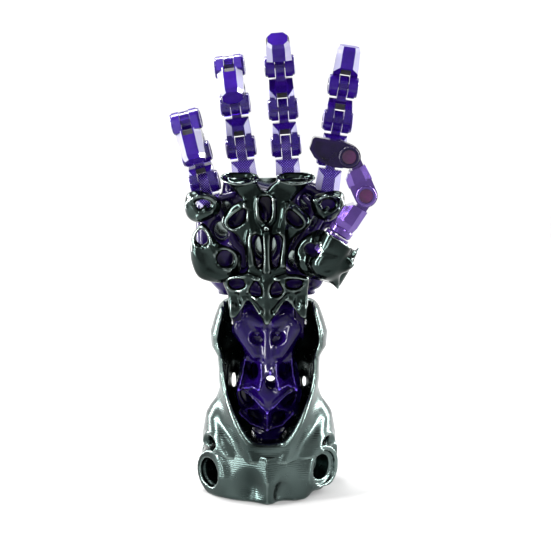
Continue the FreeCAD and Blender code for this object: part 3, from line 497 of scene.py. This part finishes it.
def forearm_cuff():
    """Flared tube, open to the front, with two folds that run down to the foot."""
    low = (-50, -44, 20)
    x, y, z = grid(low, (50, 43, 130), COARSE)
    w, d = section(z, CUFF_HEIGHTS, CUFF_WIDTHS), section(z, CUFF_HEIGHTS, CUFF_DEPTHS)
    around = 30 * np.arctan2(x, -y)
    flow = np.clip((74 - z) / 26, 0, 1)
    fold = section(z, [28, 36, 48, 66], [19, 23, 30, 33])
    ridge = -3.2 * flow * bump(np.abs(x) - fold, 5.5) + 1.6 * flow * bump(np.abs(x) - fold + 9, 4)
    lean = 38 - 0.25 * (z - 90)
    ridge += 1.2 * bump(around - lean, 9) + 1.2 * bump(around + lean, 9)
    q = np.abs(x / (w + ridge)) ** CUFF_POWER + np.abs(y / (d + ridge)) ** CUFF_POWER
    off = (q ** (1 / CUFF_POWER) - 1) * np.minimum(w, d) + CUFF_HALF
    fx, fz = x[:, 0, :], z[:, 0, :]
    cut = -(loop_distance(CUFF_OPENING, fx, fz)[:, None, :] + np.where(y > 0, FAR, 0))
    for hx, hz, r, squash in REAR_WINDOWS:
        window = r - np.hypot(x - hx, (z - hz) * squash) - np.where(y < 5, FAR, 0)
        cut = smooth_max(cut, window, 2)
    arch = loop_distance(SIDE_ARCH, y[0], z[0])[None]
    cut = smooth_max(cut, -(arch + np.where(np.abs(x) < 20, FAR, 0)), 2)
    lip = 1.1 * bump(cut + 2.0, 2.2)
    top = z - 124.5 + 0.004 * x**2 + 4 * bump(x, 18) - 1.5 * bump(np.abs(x) - 30, 5)
    bottom = 25.0 + 5.0 * bump(np.abs(x) - 42, 12) - z
    edge = smooth_max(cut, smooth_max(top, bottom, 2), 1)
    field = sheet_field(edge, off, CUFF_HALF + lip, 2.6)
    return field_mesh("cuff_shell", field, low, COARSE)


CORE_HEIGHTS = [24.0, 34.0, 41.0, 48.0, 60.0, 70.0, 80.0, 88.0, 97.0]
CORE_WIDTHS = [8.0, 9.0, 14.0, 19.0, 21.5, 20.5, 18.5, 15.5, 17.5]
CORE_DEPTHS = [10.0, 10.0, 13.0, 17.0, 19.5, 19.5, 18.0, 15.0, 13.5]
CORE_HOLES = [
    [(-1.4, 72), (0.6, 74), (3.2, 73), (3.6, 70), (1.4, 68), (-1.2, 69.3)],
    [(-14.2, 80), (-11, 85), (-7.5, 83.5), (-6.8, 77), (-9.5, 73), (-13.4, 75)],
    [(6.6, 83.5), (10, 85), (13.6, 80), (12.8, 75), (9, 73), (6.2, 77)],
    [(-18.8, 62), (-14.5, 64.2), (-9, 60), (-10, 55.5), (-15, 54), (-18, 57.5)],
    [(7.6, 60), (12.5, 64), (16.4, 62), (16, 57.5), (13, 55), (8.6, 56)],
    [(-12.6, 52.5), (-6, 52), (-3.8, 48), (-5.5, 43), (-10, 43.6), (-13.2, 48)],
    [(1.6, 48), (3.6, 52), (9, 52.5), (10.6, 48), (8, 43.8), (3, 43)],
]
CORE_RIDGES = [
    [(-19.6, 68), (-8.5, 60.5), (-1.2, 54)], [(17.7, 68), (7, 60.5), (-0.8, 54)],
    [(-1, 54), (-1, 41)], [(-19, 50), (-12, 43), (-1, 40.5), (9, 43), (15.5, 51)],
    [(-15.5, 86), (-17, 76), (-19.6, 67)], [(-5, 84), (-4.6, 76), (-6.5, 69)],
    [(14.5, 86), (15.5, 76), (17.7, 68)], [(4.6, 84), (4.8, 77), (6.5, 69)],
    [(-19.6, 67), (-11, 70), (-6.5, 69)], [(17.7, 68), (12, 71), (6.5, 69)], [(1, 80), (0.6, 75)],
]


def forearm_core():
    """Hollow pierced block under the wrist's barrel."""
    low = (-31, -27, 22)
    x, y, z = grid(low, (31, 26, 126), MIDDLE)
    w, d = section(z, CORE_HEIGHTS, CORE_WIDTHS), section(z, CORE_HEIGHTS, CORE_DEPTHS)
    q = np.sqrt((x / w) ** 2 + (y / d) ** 2)
    fx, fz = x[:, 0, :], z[:, 0, :]
    relief = sum(near(fx, fz, path, 1.0) for path in CORE_RIDGES)
    holes = np.full(fx.shape, 99.0)
    for hole in CORE_HOLES:
        holes = smooth_min(holes, loop_distance(hole, fx, fz), 1.0)
    dish = 4.0 * np.clip(1 - np.abs(holes) / 6, 0, 1)
    off = (q - 1) * np.minimum(w, d) - np.where(y < 2, (2.4 * relief - dish)[:, None, :], 0)
    body = smooth_max(off, np.maximum(z - 97, 24.5 - z), 3)
    body = smooth_max(body, -np.maximum(off + 5, 34 - z), 1)
    body = smooth_max(body, -np.maximum(holes[:, None, :], y - 6), 1.2)
    body = smooth_max(body, -rod(x, y, z, (1, -30, 76.5), (1, 30, 66), 3.1), 0.8)
    neck = np.maximum(np.abs(x) - 14.5, np.abs(y - 1) - 10.0)
    neck = smooth_max(neck, np.maximum(z - 108, 84 - z), 3)
    barrel = rod(x, y, z, (-16, WRIST_Y, WRIST_Z), (16, WRIST_Y, WRIST_Z), 14.0)
    field = smooth_min(smooth_min(body, neck, 4), barrel, 3)
    for side in (-1, 1):
        shoulder = capsule(x, y, z, (side * 17 - 1, -9, 107), (side * 8 - 1, -12, 90), 6.5, 3.0)
        field = smooth_min(field, shoulder, 3.5)
        brow = capsule(x, y, z, (side * 12 - 1, -10, 114), (side * 4 - 1, -12, 110), 3.5, 3.0)
        field = smooth_min(field, brow, 3)
        eye = ellipsoid(x, y, z, (side * 6.5 - 1, -17, 101), (5.2, 8, 4.6))
        field = smooth_max(field, -eye, 1.5)
        pupil = ellipsoid(x, y, z, (side * 6.5 - 1, -9.6, 103), (1.3, 1.3, 1.3))
        field = smooth_min(field, pupil, 0.5)
    field = smooth_min(field, capsule(x, y, z, (-1, -12, 104), (-1, -15, 88), 2.6, 1.6), 3)
    from_wrist = np.hypot(y - WRIST_Y, z - WRIST_Z)
    room = np.maximum(from_wrist - 14.4, np.abs(np.abs(x) - 24.5) - 8.2)  # for the frame's ears
    field = smooth_max(field, -room, 0.3)
    field = smooth_max(field, WRIST_BORE - from_wrist, 0.1)
    return field_mesh("core_shell", field, low, MIDDLE)


# ---- foot -------------------------------------------------------------------------------
FOOT_PLAN = [
    (0, -45), (13, -40), (24, -30), (36, -7), (41, 10), (32, 26), (17, 34), (-17, 34), (-32, 26),
    (-42, 8), (-42, -7), (-34, -24), (-20, -36), (-8, -42),
]
PROW_ANGLE = math.radians(24)
SOCKET_BORE = 8.0  # radius
# mouth centre, side, turn from that side to the front in degrees and lug radius of each socket
SOCKETS = [
    ((-37.0, -19.0, 14.5), -1, 46.0, 11.8), ((35.0, -20.0, 17.5), 1, 44.0, 13.6),
    ((-37.0, 21.0, 15.5), -1, -38.0, 11.0), ((38.0, 21.0, 17.0), 1, -38.0, 11.5),
]
# centre, radii and how softly they are cut
FOOT_SCOOPS = [
    ((-16, -43, 11), (12, 9.5, 13), 3.5), ((17, -44, 13), (12, 9.5, 13), 3.5),
    ((0, 44, 12), (12, 9.5, 13), 3.5), ((-49, 2, 14), (12, 9.5, 13), 3.5),
    ((49, 2, 14), (12, 9.5, 13), 3.5), ((38, -24, -1), (12, 12, 6.5), 2),
    ((11.5, -41.5, 5), (8.5, 8.5, 13), 1.2),
]


def socket_point(mouth, side, turn, inward):
    """Point on a socket's axis, so far inside its mouth."""
    angle = math.radians(turn)
    mx, my, mz = mouth
    return mx - inward * side * math.cos(angle), my + inward * math.sin(angle), mz


def base_foot():
    """Low block with a prow to the front and a tube socket at each corner."""
    low = (-56, -48, -4)
    x, y, z = grid(low, (58, 44, 46), COARSE)
    plan = loop_distance(FOOT_PLAN, x[:, :, 0], y[:, :, 0])[:, :, None]
    height = 33.5 - 0.0035 * (x**2 + 0.7 * y**2)
    ahead = y + 41.5 - 0.08 * (z - 10)
    prow = np.abs(x + 1) * math.sin(PROW_ANGLE) - ahead * math.cos(PROW_ANGLE)
    walls = smooth_max(plan, prow, 0.6)
    field = smooth_max(walls + 0.12 * np.abs(z - 14) - 1.5, np.maximum(z - height, -z), 2)
    for mouth, side, turn, lug in SOCKETS:
        collar = rod(x, y, z, socket_point(mouth, side, turn, 20), mouth, lug)
        lip = rod(x, y, z, socket_point(mouth, side, turn, 3.5), mouth, lug + 0.8)
        field = smooth_min(field, smooth_min(collar, lip, 1.5), 7)
    for centre, radii, soft in FOOT_SCOOPS:
        field = smooth_max(field, -ellipsoid(x, y, z, centre, radii), soft)
    for mouth, side, turn, lug in SOCKETS:
        outside = socket_point(mouth, side, turn, -12)
        bore = rod(x, y, z, socket_point(mouth, side, turn, 14), outside, SOCKET_BORE)
        dish = rod(x, y, z, socket_point(mouth, side, turn, 2), outside, lug - 2.4)
        field = smooth_max(smooth_max(field, -bore, 0.5), -dish, 0.8)
    return field_mesh("foot_shell", np.maximum(field, -z), low, COARSE)


# ---- materials --------------------------------------------------------------------------
# in metres
WAVE_LENGTH = 0.314  # of the wave texture at a scale of 1
METAL_PITCH, RESIN_PITCH, PLASTIC_PITCH, KNURL_PITCH = 0.0013, 0.0003, 0.0004, 0.0011
RESIN_BUMP, PLASTIC_BUMP, KNURL_BUMP = 0.000005, 0.000006, 0.0002


def material(name):
    m = bpy.data.materials.new(name)
    m.use_nodes = True
    return m, m.node_tree.nodes, m.node_tree.links, m.node_tree.nodes["Principled BSDF"]


def noise(nodes, links, scale, detail=3.0, stretch=(1, 1, 1)):
    place = nodes.new("ShaderNodeTexCoord")
    turn = nodes.new("ShaderNodeMapping")
    turn.inputs["Scale"].default_value = stretch
    texture = nodes.new("ShaderNodeTexNoise")
    texture.inputs["Scale"].default_value = scale
    texture.inputs["Detail"].default_value = detail
    links.new(place.outputs["Object"], turn.inputs["Vector"])
    links.new(turn.outputs["Vector"], texture.inputs["Vector"])
    return texture.outputs["Fac"]


def spread(nodes, links, value, low, high):
    """Maps 0.3 to 0.7, where most of a noise lies, onto low to high."""
    node = nodes.new("ShaderNodeMapRange")
    node.inputs["From Min"].default_value = 0.3
    node.inputs["From Max"].default_value = 0.7
    node.inputs["To Min"].default_value = low
    node.inputs["To Max"].default_value = high
    links.new(value, node.inputs["Value"])
    return node.outputs["Result"]


def bumps(nodes, links, shader, height, distance, strength=1.0):
    node = nodes.new("ShaderNodeBump")
    node.inputs["Strength"].default_value = strength
    node.inputs["Distance"].default_value = distance
    links.new(height, node.inputs["Height"])
    links.new(node.outputs["Normal"], shader.inputs["Normal"])


def colours(nodes, links, value, first, second):
    node = nodes.new("ShaderNodeMix")
    node.data_type = "RGBA"
    node.inputs["A"].default_value = (*first, 1)
    node.inputs["B"].default_value = (*second, 1)
    links.new(value, node.inputs["Factor"])
    return node.outputs["Result"]


def edges(nodes, links, base, highlight_colour, low=0.52, high=0.6):
    """Mixes a brighter colour in along convex edges, as a painted highlight."""
    place = nodes.new("ShaderNodeNewGeometry")
    reach = nodes.new("ShaderNodeMapRange")
    reach.inputs["From Min"].default_value = low
    reach.inputs["From Max"].default_value = high
    links.new(place.outputs["Pointiness"], reach.inputs["Value"])
    node = nodes.new("ShaderNodeMix")
    node.data_type = "RGBA"
    node.inputs["B"].default_value = (*highlight_colour, 1)
    links.new(base, node.inputs["A"])
    links.new(reach.outputs["Result"], node.inputs["Factor"])
    return node.outputs["Result"]


def layers(nodes, links, pitch):
    """Fine level lines left by printing in layers a pitch apart, as a height."""
    place = nodes.new("ShaderNodeTexCoord")
    wave = nodes.new("ShaderNodeTexWave")
    wave.wave_type = "BANDS"
    wave.bands_direction = "Z"
    wave.inputs["Scale"].default_value = WAVE_LENGTH / pitch
    wave.inputs["Distortion"].default_value = 0.6
    wave.inputs["Detail"].default_value = 1.0
    links.new(place.outputs["Object"], wave.inputs["Vector"])
    return wave.outputs["Fac"]


def printed_metal(name, dark, light, highlight_colour, rough, line_depth):
    m, nodes, links, shader = material(name)
    shader.inputs["Metallic"].default_value = 1.0
    # random lighter patches, stretched upright: partly the filament's uneven tone, partly painted
    # broad reflections
    cloud = spread(nodes, links, noise(nodes, links, 27, 1.5, (1, 1, 0.6)), 0, 1)
    # convex edges get the painted highlight colour
    colour = edges(nodes, links, colours(nodes, links, cloud, dark, light), highlight_colour)
    links.new(colour, shader.inputs["Base Color"])
    links.new(spread(nodes, links, noise(nodes, links, 300, 5), *rough), shader.inputs["Roughness"])
    bumps(nodes, links, shader, layers(nodes, links, METAL_PITCH), line_depth, 0.6)
    return m


def side_mask(nodes, links, stops):
    """Value by how far a face turns to its piece's sides, through stops of (turn, value)."""
    place = nodes.new("ShaderNodeTexCoord")
    split = nodes.new("ShaderNodeSeparateXYZ")
    links.new(place.outputs["Normal"], split.inputs["Vector"])
    side = nodes.new("ShaderNodeMath")
    side.operation = "ABSOLUTE"
    links.new(split.outputs["X"], side.inputs[0])
    ramp = nodes.new("ShaderNodeValToRGB")
    elements = ramp.color_ramp.elements
    elements[0].position = stops[0][0]
    elements[1].position = stops[-1][0]
    for turn, _ in stops[1:-1]:
        elements.new(turn)
    for element, (_, value) in zip(elements, stops):
        element.color = (value, value, value, 1)
    links.new(side.outputs[0], ramp.inputs["Fac"])
    return ramp.outputs["Color"]


def knurl(nodes, links):
    """Crossed fine lines, as a height from 0 to 1."""
    place = nodes.new("ShaderNodeTexCoord")
    heights = []
    for angle in (-0.8, 0.8):
        turn = nodes.new("ShaderNodeMapping")
        turn.inputs["Rotation"].default_value = (0, angle, 0)
        links.new(place.outputs["Object"], turn.inputs["Vector"])
        wave = nodes.new("ShaderNodeTexWave")
        wave.bands_direction = "X"
        wave.inputs["Scale"].default_value = WAVE_LENGTH / KNURL_PITCH
        wave.inputs["Distortion"].default_value = 0.4
        links.new(turn.outputs["Vector"], wave.inputs["Vector"])
        heights.append(wave.outputs["Fac"])
    both = nodes.new("ShaderNodeMath")
    both.operation = "MULTIPLY"
    links.new(heights[0], both.inputs[0])
    links.new(heights[1], both.inputs[1])
    return both.outputs[0]


def over(nodes, links, mask, below, above):
    """Shader that is below where the mask is 0 and above where it is 1."""
    mix = nodes.new("ShaderNodeMixShader")
    links.new(mask, mix.inputs[0])
    links.new(below, mix.inputs[1])
    links.new(above.outputs["BSDF"], mix.inputs[2])
    return mix.outputs["Shader"]


RESIN_TINT = (0.9, 0.85, 1.0)  # at its surface
RESIN_DEPTH = (0.42, 0.08, 0.77)  # what its volume lets through


def resin(name, density, rough, chamfer_highlight, plate, knurled=0.0):
    """Clear resin with a painted highlight on its chamfers and painted shade on its faces to front
    and back.
    """
    m, nodes, links, shader = material(name)
    shader.inputs["Transmission Weight"].default_value = 1.0
    shader.inputs["IOR"].default_value = 1.5
    colour = colours(nodes, links, noise(nodes, links, 80, 3), RESIN_TINT, (1, 1, 1))
    links.new(colour, shader.inputs["Base Color"])
    links.new(spread(nodes, links, noise(nodes, links, 400, 4), *rough), shader.inputs["Roughness"])
    bumps(nodes, links, shader, layers(nodes, links, RESIN_PITCH), RESIN_BUMP, 0.5)
    volume = nodes.new("ShaderNodeVolumeAbsorption")
    volume.inputs["Color"].default_value = (*RESIN_DEPTH, 1)
    volume.inputs["Density"].default_value = density
    output = nodes["Material Output"]
    links.new(volume.outputs["Volume"], output.inputs["Volume"])

    # painted highlight: a pale coated copy of the resin on faces turned half to the sides
    white = nodes.new("ShaderNodeBsdfPrincipled")
    white.inputs["Base Color"].default_value = (0.45, 0.44, 0.62, 1)
    white.inputs["Roughness"].default_value = 0.12
    white.inputs["Coat Weight"].default_value = 1.0
    mask = side_mask(nodes, links, [(0.42, 0), (0.46, chamfer_highlight), (0.86, chamfer_highlight), (0.9, 0)])
    surface = over(nodes, links, mask, shader.outputs["BSDF"], white)

    # painted shade: an opaque dark violet copy on faces turned to the front and back, in place of
    # light seen through the resin's thickness
    deep = nodes.new("ShaderNodeBsdfPrincipled")
    cloud = noise(nodes, links, 120, 4)
    colour = colours(nodes, links, cloud, (0.006, 0.001, 0.06), (0.028, 0.005, 0.2))
    links.new(colour, deep.inputs["Base Color"])
    deep.inputs["Roughness"].default_value = 0.2
    deep.inputs["Specular IOR Level"].default_value = 0.25
    mask = side_mask(nodes, links, [(0, plate), (0.38, plate), (0.42, 0)])
    surface = over(nodes, links, mask, surface, deep)

    if knurled:
        grip = nodes.new("ShaderNodeBsdfPrincipled")
        grip.inputs["Roughness"].default_value = 0.3
        lines = knurl(nodes, links)
        colour = colours(nodes, links, lines, (0.03, 0.005, 0.2), (0.4, 0.3, 0.85))
        links.new(colour, grip.inputs["Base Color"])
        bumps(nodes, links, grip, lines, KNURL_BUMP)
        scaled = nodes.new("ShaderNodeMath")
        scaled.operation = "MULTIPLY"
        scaled.inputs[1].default_value = knurled
        links.new(lines, scaled.inputs[0])
        surface = over(nodes, links, scaled.outputs[0], surface, grip)
    links.new(surface, output.inputs["Surface"])
    return m


def glossy_plastic(name, dark, light, rough, coat=0.0, metallic=0.0, highlight_colour=None):
    m, nodes, links, shader = material(name)
    colour = colours(nodes, links, noise(nodes, links, 90, 4), dark, light)
    if highlight_colour:
        # convex edges get the painted highlight colour
        colour = edges(nodes, links, colour, highlight_colour, 0.53, 0.64)
    links.new(colour, shader.inputs["Base Color"])
    links.new(spread(nodes, links, noise(nodes, links, 350, 4), *rough), shader.inputs["Roughness"])
    shader.inputs["Coat Weight"].default_value = coat
    shader.inputs["Coat Roughness"].default_value = 0.06
    shader.inputs["Metallic"].default_value = metallic
    shader.inputs["Specular IOR Level"].default_value = 0.3
    bumps(nodes, links, shader, layers(nodes, links, PLASTIC_PITCH), PLASTIC_BUMP, 0.5)
    return m


chrome = printed_metal(
    "dark_chrome", dark=(0.004, 0.007, 0.006), light=(0.034, 0.048, 0.045),
    highlight_colour=(0.5, 0.6, 0.57), rough=(0.09, 0.16), line_depth=0.000006,
)
gunmetal = printed_metal(
    "gunmetal", dark=(0.01, 0.017, 0.016), light=(0.1, 0.135, 0.128),
    highlight_colour=(0.35, 0.45, 0.42), rough=(0.19, 0.28), line_depth=0.00006,
)
# chamfer_highlight and plate weigh the painted highlight and the painted shade
violet = resin("violet_resin", density=620, rough=(0.03, 0.1), chamfer_highlight=0.55, plate=0.6)
tip_violet = resin("tip_resin", density=620, rough=(0.03, 0.1), chamfer_highlight=0.55, plate=0.95)
knurled_violet = resin(
    "knurled_resin", density=600, rough=(0.05, 0.12), chamfer_highlight=0.5, plate=0.8, knurled=0.6,
)
# its ridges get a painted violet-blue glint
deep_violet = glossy_plastic(
    "deep_violet", dark=(0.001, 0.0003, 0.01), light=(0.008, 0.0012, 0.065),
    rough=(0.08, 0.14), coat=0.05, highlight_colour=(0.16, 0.09, 0.7),
)
black_violet = glossy_plastic(
    "black_violet", dark=(0.003, 0.001, 0.014), light=(0.012, 0.003, 0.07),
    rough=(0.16, 0.26), coat=0.1,
)
magenta = glossy_plastic(
    "magenta", dark=(0.02, 0.002, 0.03), light=(0.08, 0.005, 0.07), rough=(0.15, 0.25), coat=1.0,
)
lilac = glossy_plastic(
    "lilac", dark=(0.04, 0.016, 0.13), light=(0.12, 0.06, 0.3),
    rough=(0.08, 0.2), coat=0.6, metallic=0.7,
)
# the thumb tip's copy of the lilac resin, painted near black as shade where its faces mirror the
# dark room
shaded_lilac = glossy_plastic(
    "shaded_lilac", dark=(0.002, 0.0007, 0.008), light=(0.008, 0.003, 0.035), rough=(0.08, 0.16),
)
rubber = glossy_plastic(
    "rubber", dark=(0.008, 0.008, 0.01), light=(0.02, 0.02, 0.026), rough=(0.4, 0.6),
)
steel = printed_metal(
    "steel", dark=(0.55, 0.55, 0.56), light=(0.7, 0.7, 0.72),
    highlight_colour=(0.8, 0.8, 0.82), rough=(0.2, 0.3), line_depth=0.000005,
)

# ---- pieces -----------------------------------------------------------------------------
replaced = set()


def paint(obj, finish, slot):
    obj.data.materials.clear()
    obj.data.materials.append(finish)


def place_shell(obj, node, body, finish, slot):
    paint(obj, finish, slot)
    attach(obj, body)
    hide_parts(node)
    replaced.add(node)


place_shell(palm_plate(), "palm_plate", "palm", chrome, "gunmetal_print")
for node, obj in palm_covers().items():
    place_shell(obj, node, "palm", chrome, "gunmetal_print")
place_shell(palm_frame(), "palm_frame", "palm", black_violet, "violet_resin")
place_shell(forearm_cuff(), "forearm_cuff", "forearm", gunmetal, "gunmetal_print")
place_shell(forearm_core(), "forearm_core", "forearm", deep_violet, "violet_resin")
place_shell(base_foot(), "base_foot", "forearm", gunmetal, "gunmetal_print")


def look_of(name):
    """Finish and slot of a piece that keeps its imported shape."""
    if "bumper" in name:
        return rubber, "black_rubber"
    if name in ("base_bolts", "cover_screws", "wrist_pin", "thumb_swivel_pin"):
        return steel, "steel"
    if name == "dorsal_plate":
        return chrome, "gunmetal_print"
    if name.endswith(("_pin", "_pins")):
        return magenta, "lilac_resin" if name.startswith("thumb") else "violet_resin"
    if name == "thumb_distal":
        return shaded_lilac, "lilac_resin"
    if name.startswith("thumb"):
        return lilac, "lilac_resin"
    if name.endswith("_distal"):
        return tip_violet, "violet_resin"
    if name.endswith("_root"):
        return knurled_violet, "violet_resin"
    return violet, "violet_resin"


THUMB_BEVEL, FINGER_BEVEL = 0.0008, 0.0004

for name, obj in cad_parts.items():
    if name in replaced:
        continue
    paint(obj, *look_of(name))
    round_off = obj.modifiers.new("edges", "BEVEL")
    round_off.width = THUMB_BEVEL if name.startswith("thumb") else FINGER_BEVEL
    round_off.segments = 2
    round_off.limit_method = "ANGLE"


# ---- studio -----------------------------------------------------------------------------
def stage_mesh(name, verts, faces, finish):
    mesh = bpy.data.meshes.new(name)
    mesh.from_pydata(verts, [], faces)
    obj = bpy.data.objects.new(name, mesh)
    bpy.context.scene.collection.objects.link(obj)
    obj.data.materials.append(finish)
    return obj


def paper_finish():
    """White card that glows a little more with height, so that the backdrop stays white."""
    m, nodes, links, shader = material("paper")
    grain = noise(nodes, links, 30, 2)
    colour = colours(nodes, links, grain, (0.29, 0.29, 0.29), (0.31, 0.31, 0.31))
    links.new(colour, shader.inputs["Base Color"])
    shader.inputs["Roughness"].default_value = 0.9
    shader.inputs["Specular IOR Level"].default_value = 0.0
    shader.inputs["Emission Color"].default_value = (1, 1, 1, 1)
    place = nodes.new("ShaderNodeTexCoord")
    split = nodes.new("ShaderNodeSeparateXYZ")
    links.new(place.outputs["Object"], split.inputs["Vector"])
    glow = nodes.new("ShaderNodeMapRange")
    glow.inputs["From Max"].default_value = 0.6
    glow.inputs["To Min"].default_value = 0.12
    glow.inputs["To Max"].default_value = 0.3
    links.new(split.outputs["Z"], glow.inputs["Value"])
    links.new(glow.outputs["Result"], shader.inputs["Emission Strength"])
    return m


# a round floor that bends up into a wall, in metres; the hole in its middle is under the foot
HOLE, FLAT, BEND, WALL_TOP = 0.01, 1.2, 0.6, 2.8
SIDES = 64
profile = [(HOLE, 0.0), (FLAT, 0.0)]
for a in np.linspace(0.2, math.pi / 2, 10):
    profile.append((FLAT + BEND * math.sin(a), BEND - BEND * math.cos(a)))
profile.append((FLAT + BEND, WALL_TOP))
turns = [2 * math.pi * i / SIDES for i in range(SIDES)]
bowl = [(r * math.cos(a), r * math.sin(a), z) for a in turns for r, z in profile]
steps = len(profile)
quads = []
for i in range(SIDES):
    this, after = i * steps, (i + 1) % SIDES * steps
    quads += [(this + j, after + j, after + j + 1, this + j + 1) for j in range(steps - 1)]
floor = stage_mesh("floor", bowl, quads, paper_finish())
for face in floor.data.polygons:
    face.use_smooth = True


def softbox(name, place, target, size, watts):
    data = bpy.data.lights.new(name, "AREA")
    data.shape = "RECTANGLE"
    data.size, data.size_y = size
    data.energy = watts
    obj = bpy.data.objects.new(name, data)
    obj.location = place
    obj.rotation_euler = (Vector(target) - Vector(place)).to_track_quat("-Z", "Y").to_euler()
    bpy.context.scene.collection.objects.link(obj)


HAND = (0.0, 0.0, 0.14)
# name, place, target, width and height, and watts
LIGHTS = [
    ("left_box", (-0.9, -0.3, 0.4), HAND, (0.13, 1.0), 27),
    ("right_box", (0.9, -0.2, 0.4), HAND, (0.12, 1.0), 21),
    ("top_box", (-0.3, 0.2, 1.1), HAND, (0.6, 0.14), 19),
    ("left_rim", (-0.75, 0.45, 0.35), HAND, (0.12, 0.8), 12),
    ("right_rim", (0.75, 0.45, 0.35), HAND, (0.12, 0.8), 12),
    ("front_strip", (-0.5, -1.0, 0.8), HAND, (0.05, 0.6), 3),
    ("low_box", (-0.8, -0.7, 0.1), HAND, (0.16, 0.3), 3),
    ("backdrop_light", (0.0, 0.6, 1.6), (0.0, 1.6, 0.3), (2.0, 0.6), 60),
]
for light in LIGHTS:
    softbox(*light)

world = bpy.data.worlds.new("studio")
world.use_nodes = True
world.node_tree.nodes["Background"].inputs["Color"].default_value = (1, 1, 1, 1)
world.node_tree.nodes["Background"].inputs["Strength"].default_value = 0.08
bpy.context.scene.world = world
bpy.context.scene.view_settings.view_transform = "Standard"

# the photograph's view, from a little above
DISTANCE = 0.830
ELEVATION = math.radians(10)
target = Vector((0.0042, 0.0, 0.139))
camera = bpy.data.cameras.new("camera")
camera.lens = 84.8
camera.sensor_width = 36
eye = bpy.data.objects.new("camera", camera)
eye.location = target + DISTANCE * Vector((0, -math.cos(ELEVATION), math.sin(ELEVATION)))
eye.rotation_euler = (target - eye.location).to_track_quat("-Z", "Y").to_euler()
bpy.context.scene.collection.objects.link(eye)
bpy.context.scene.camera = eye
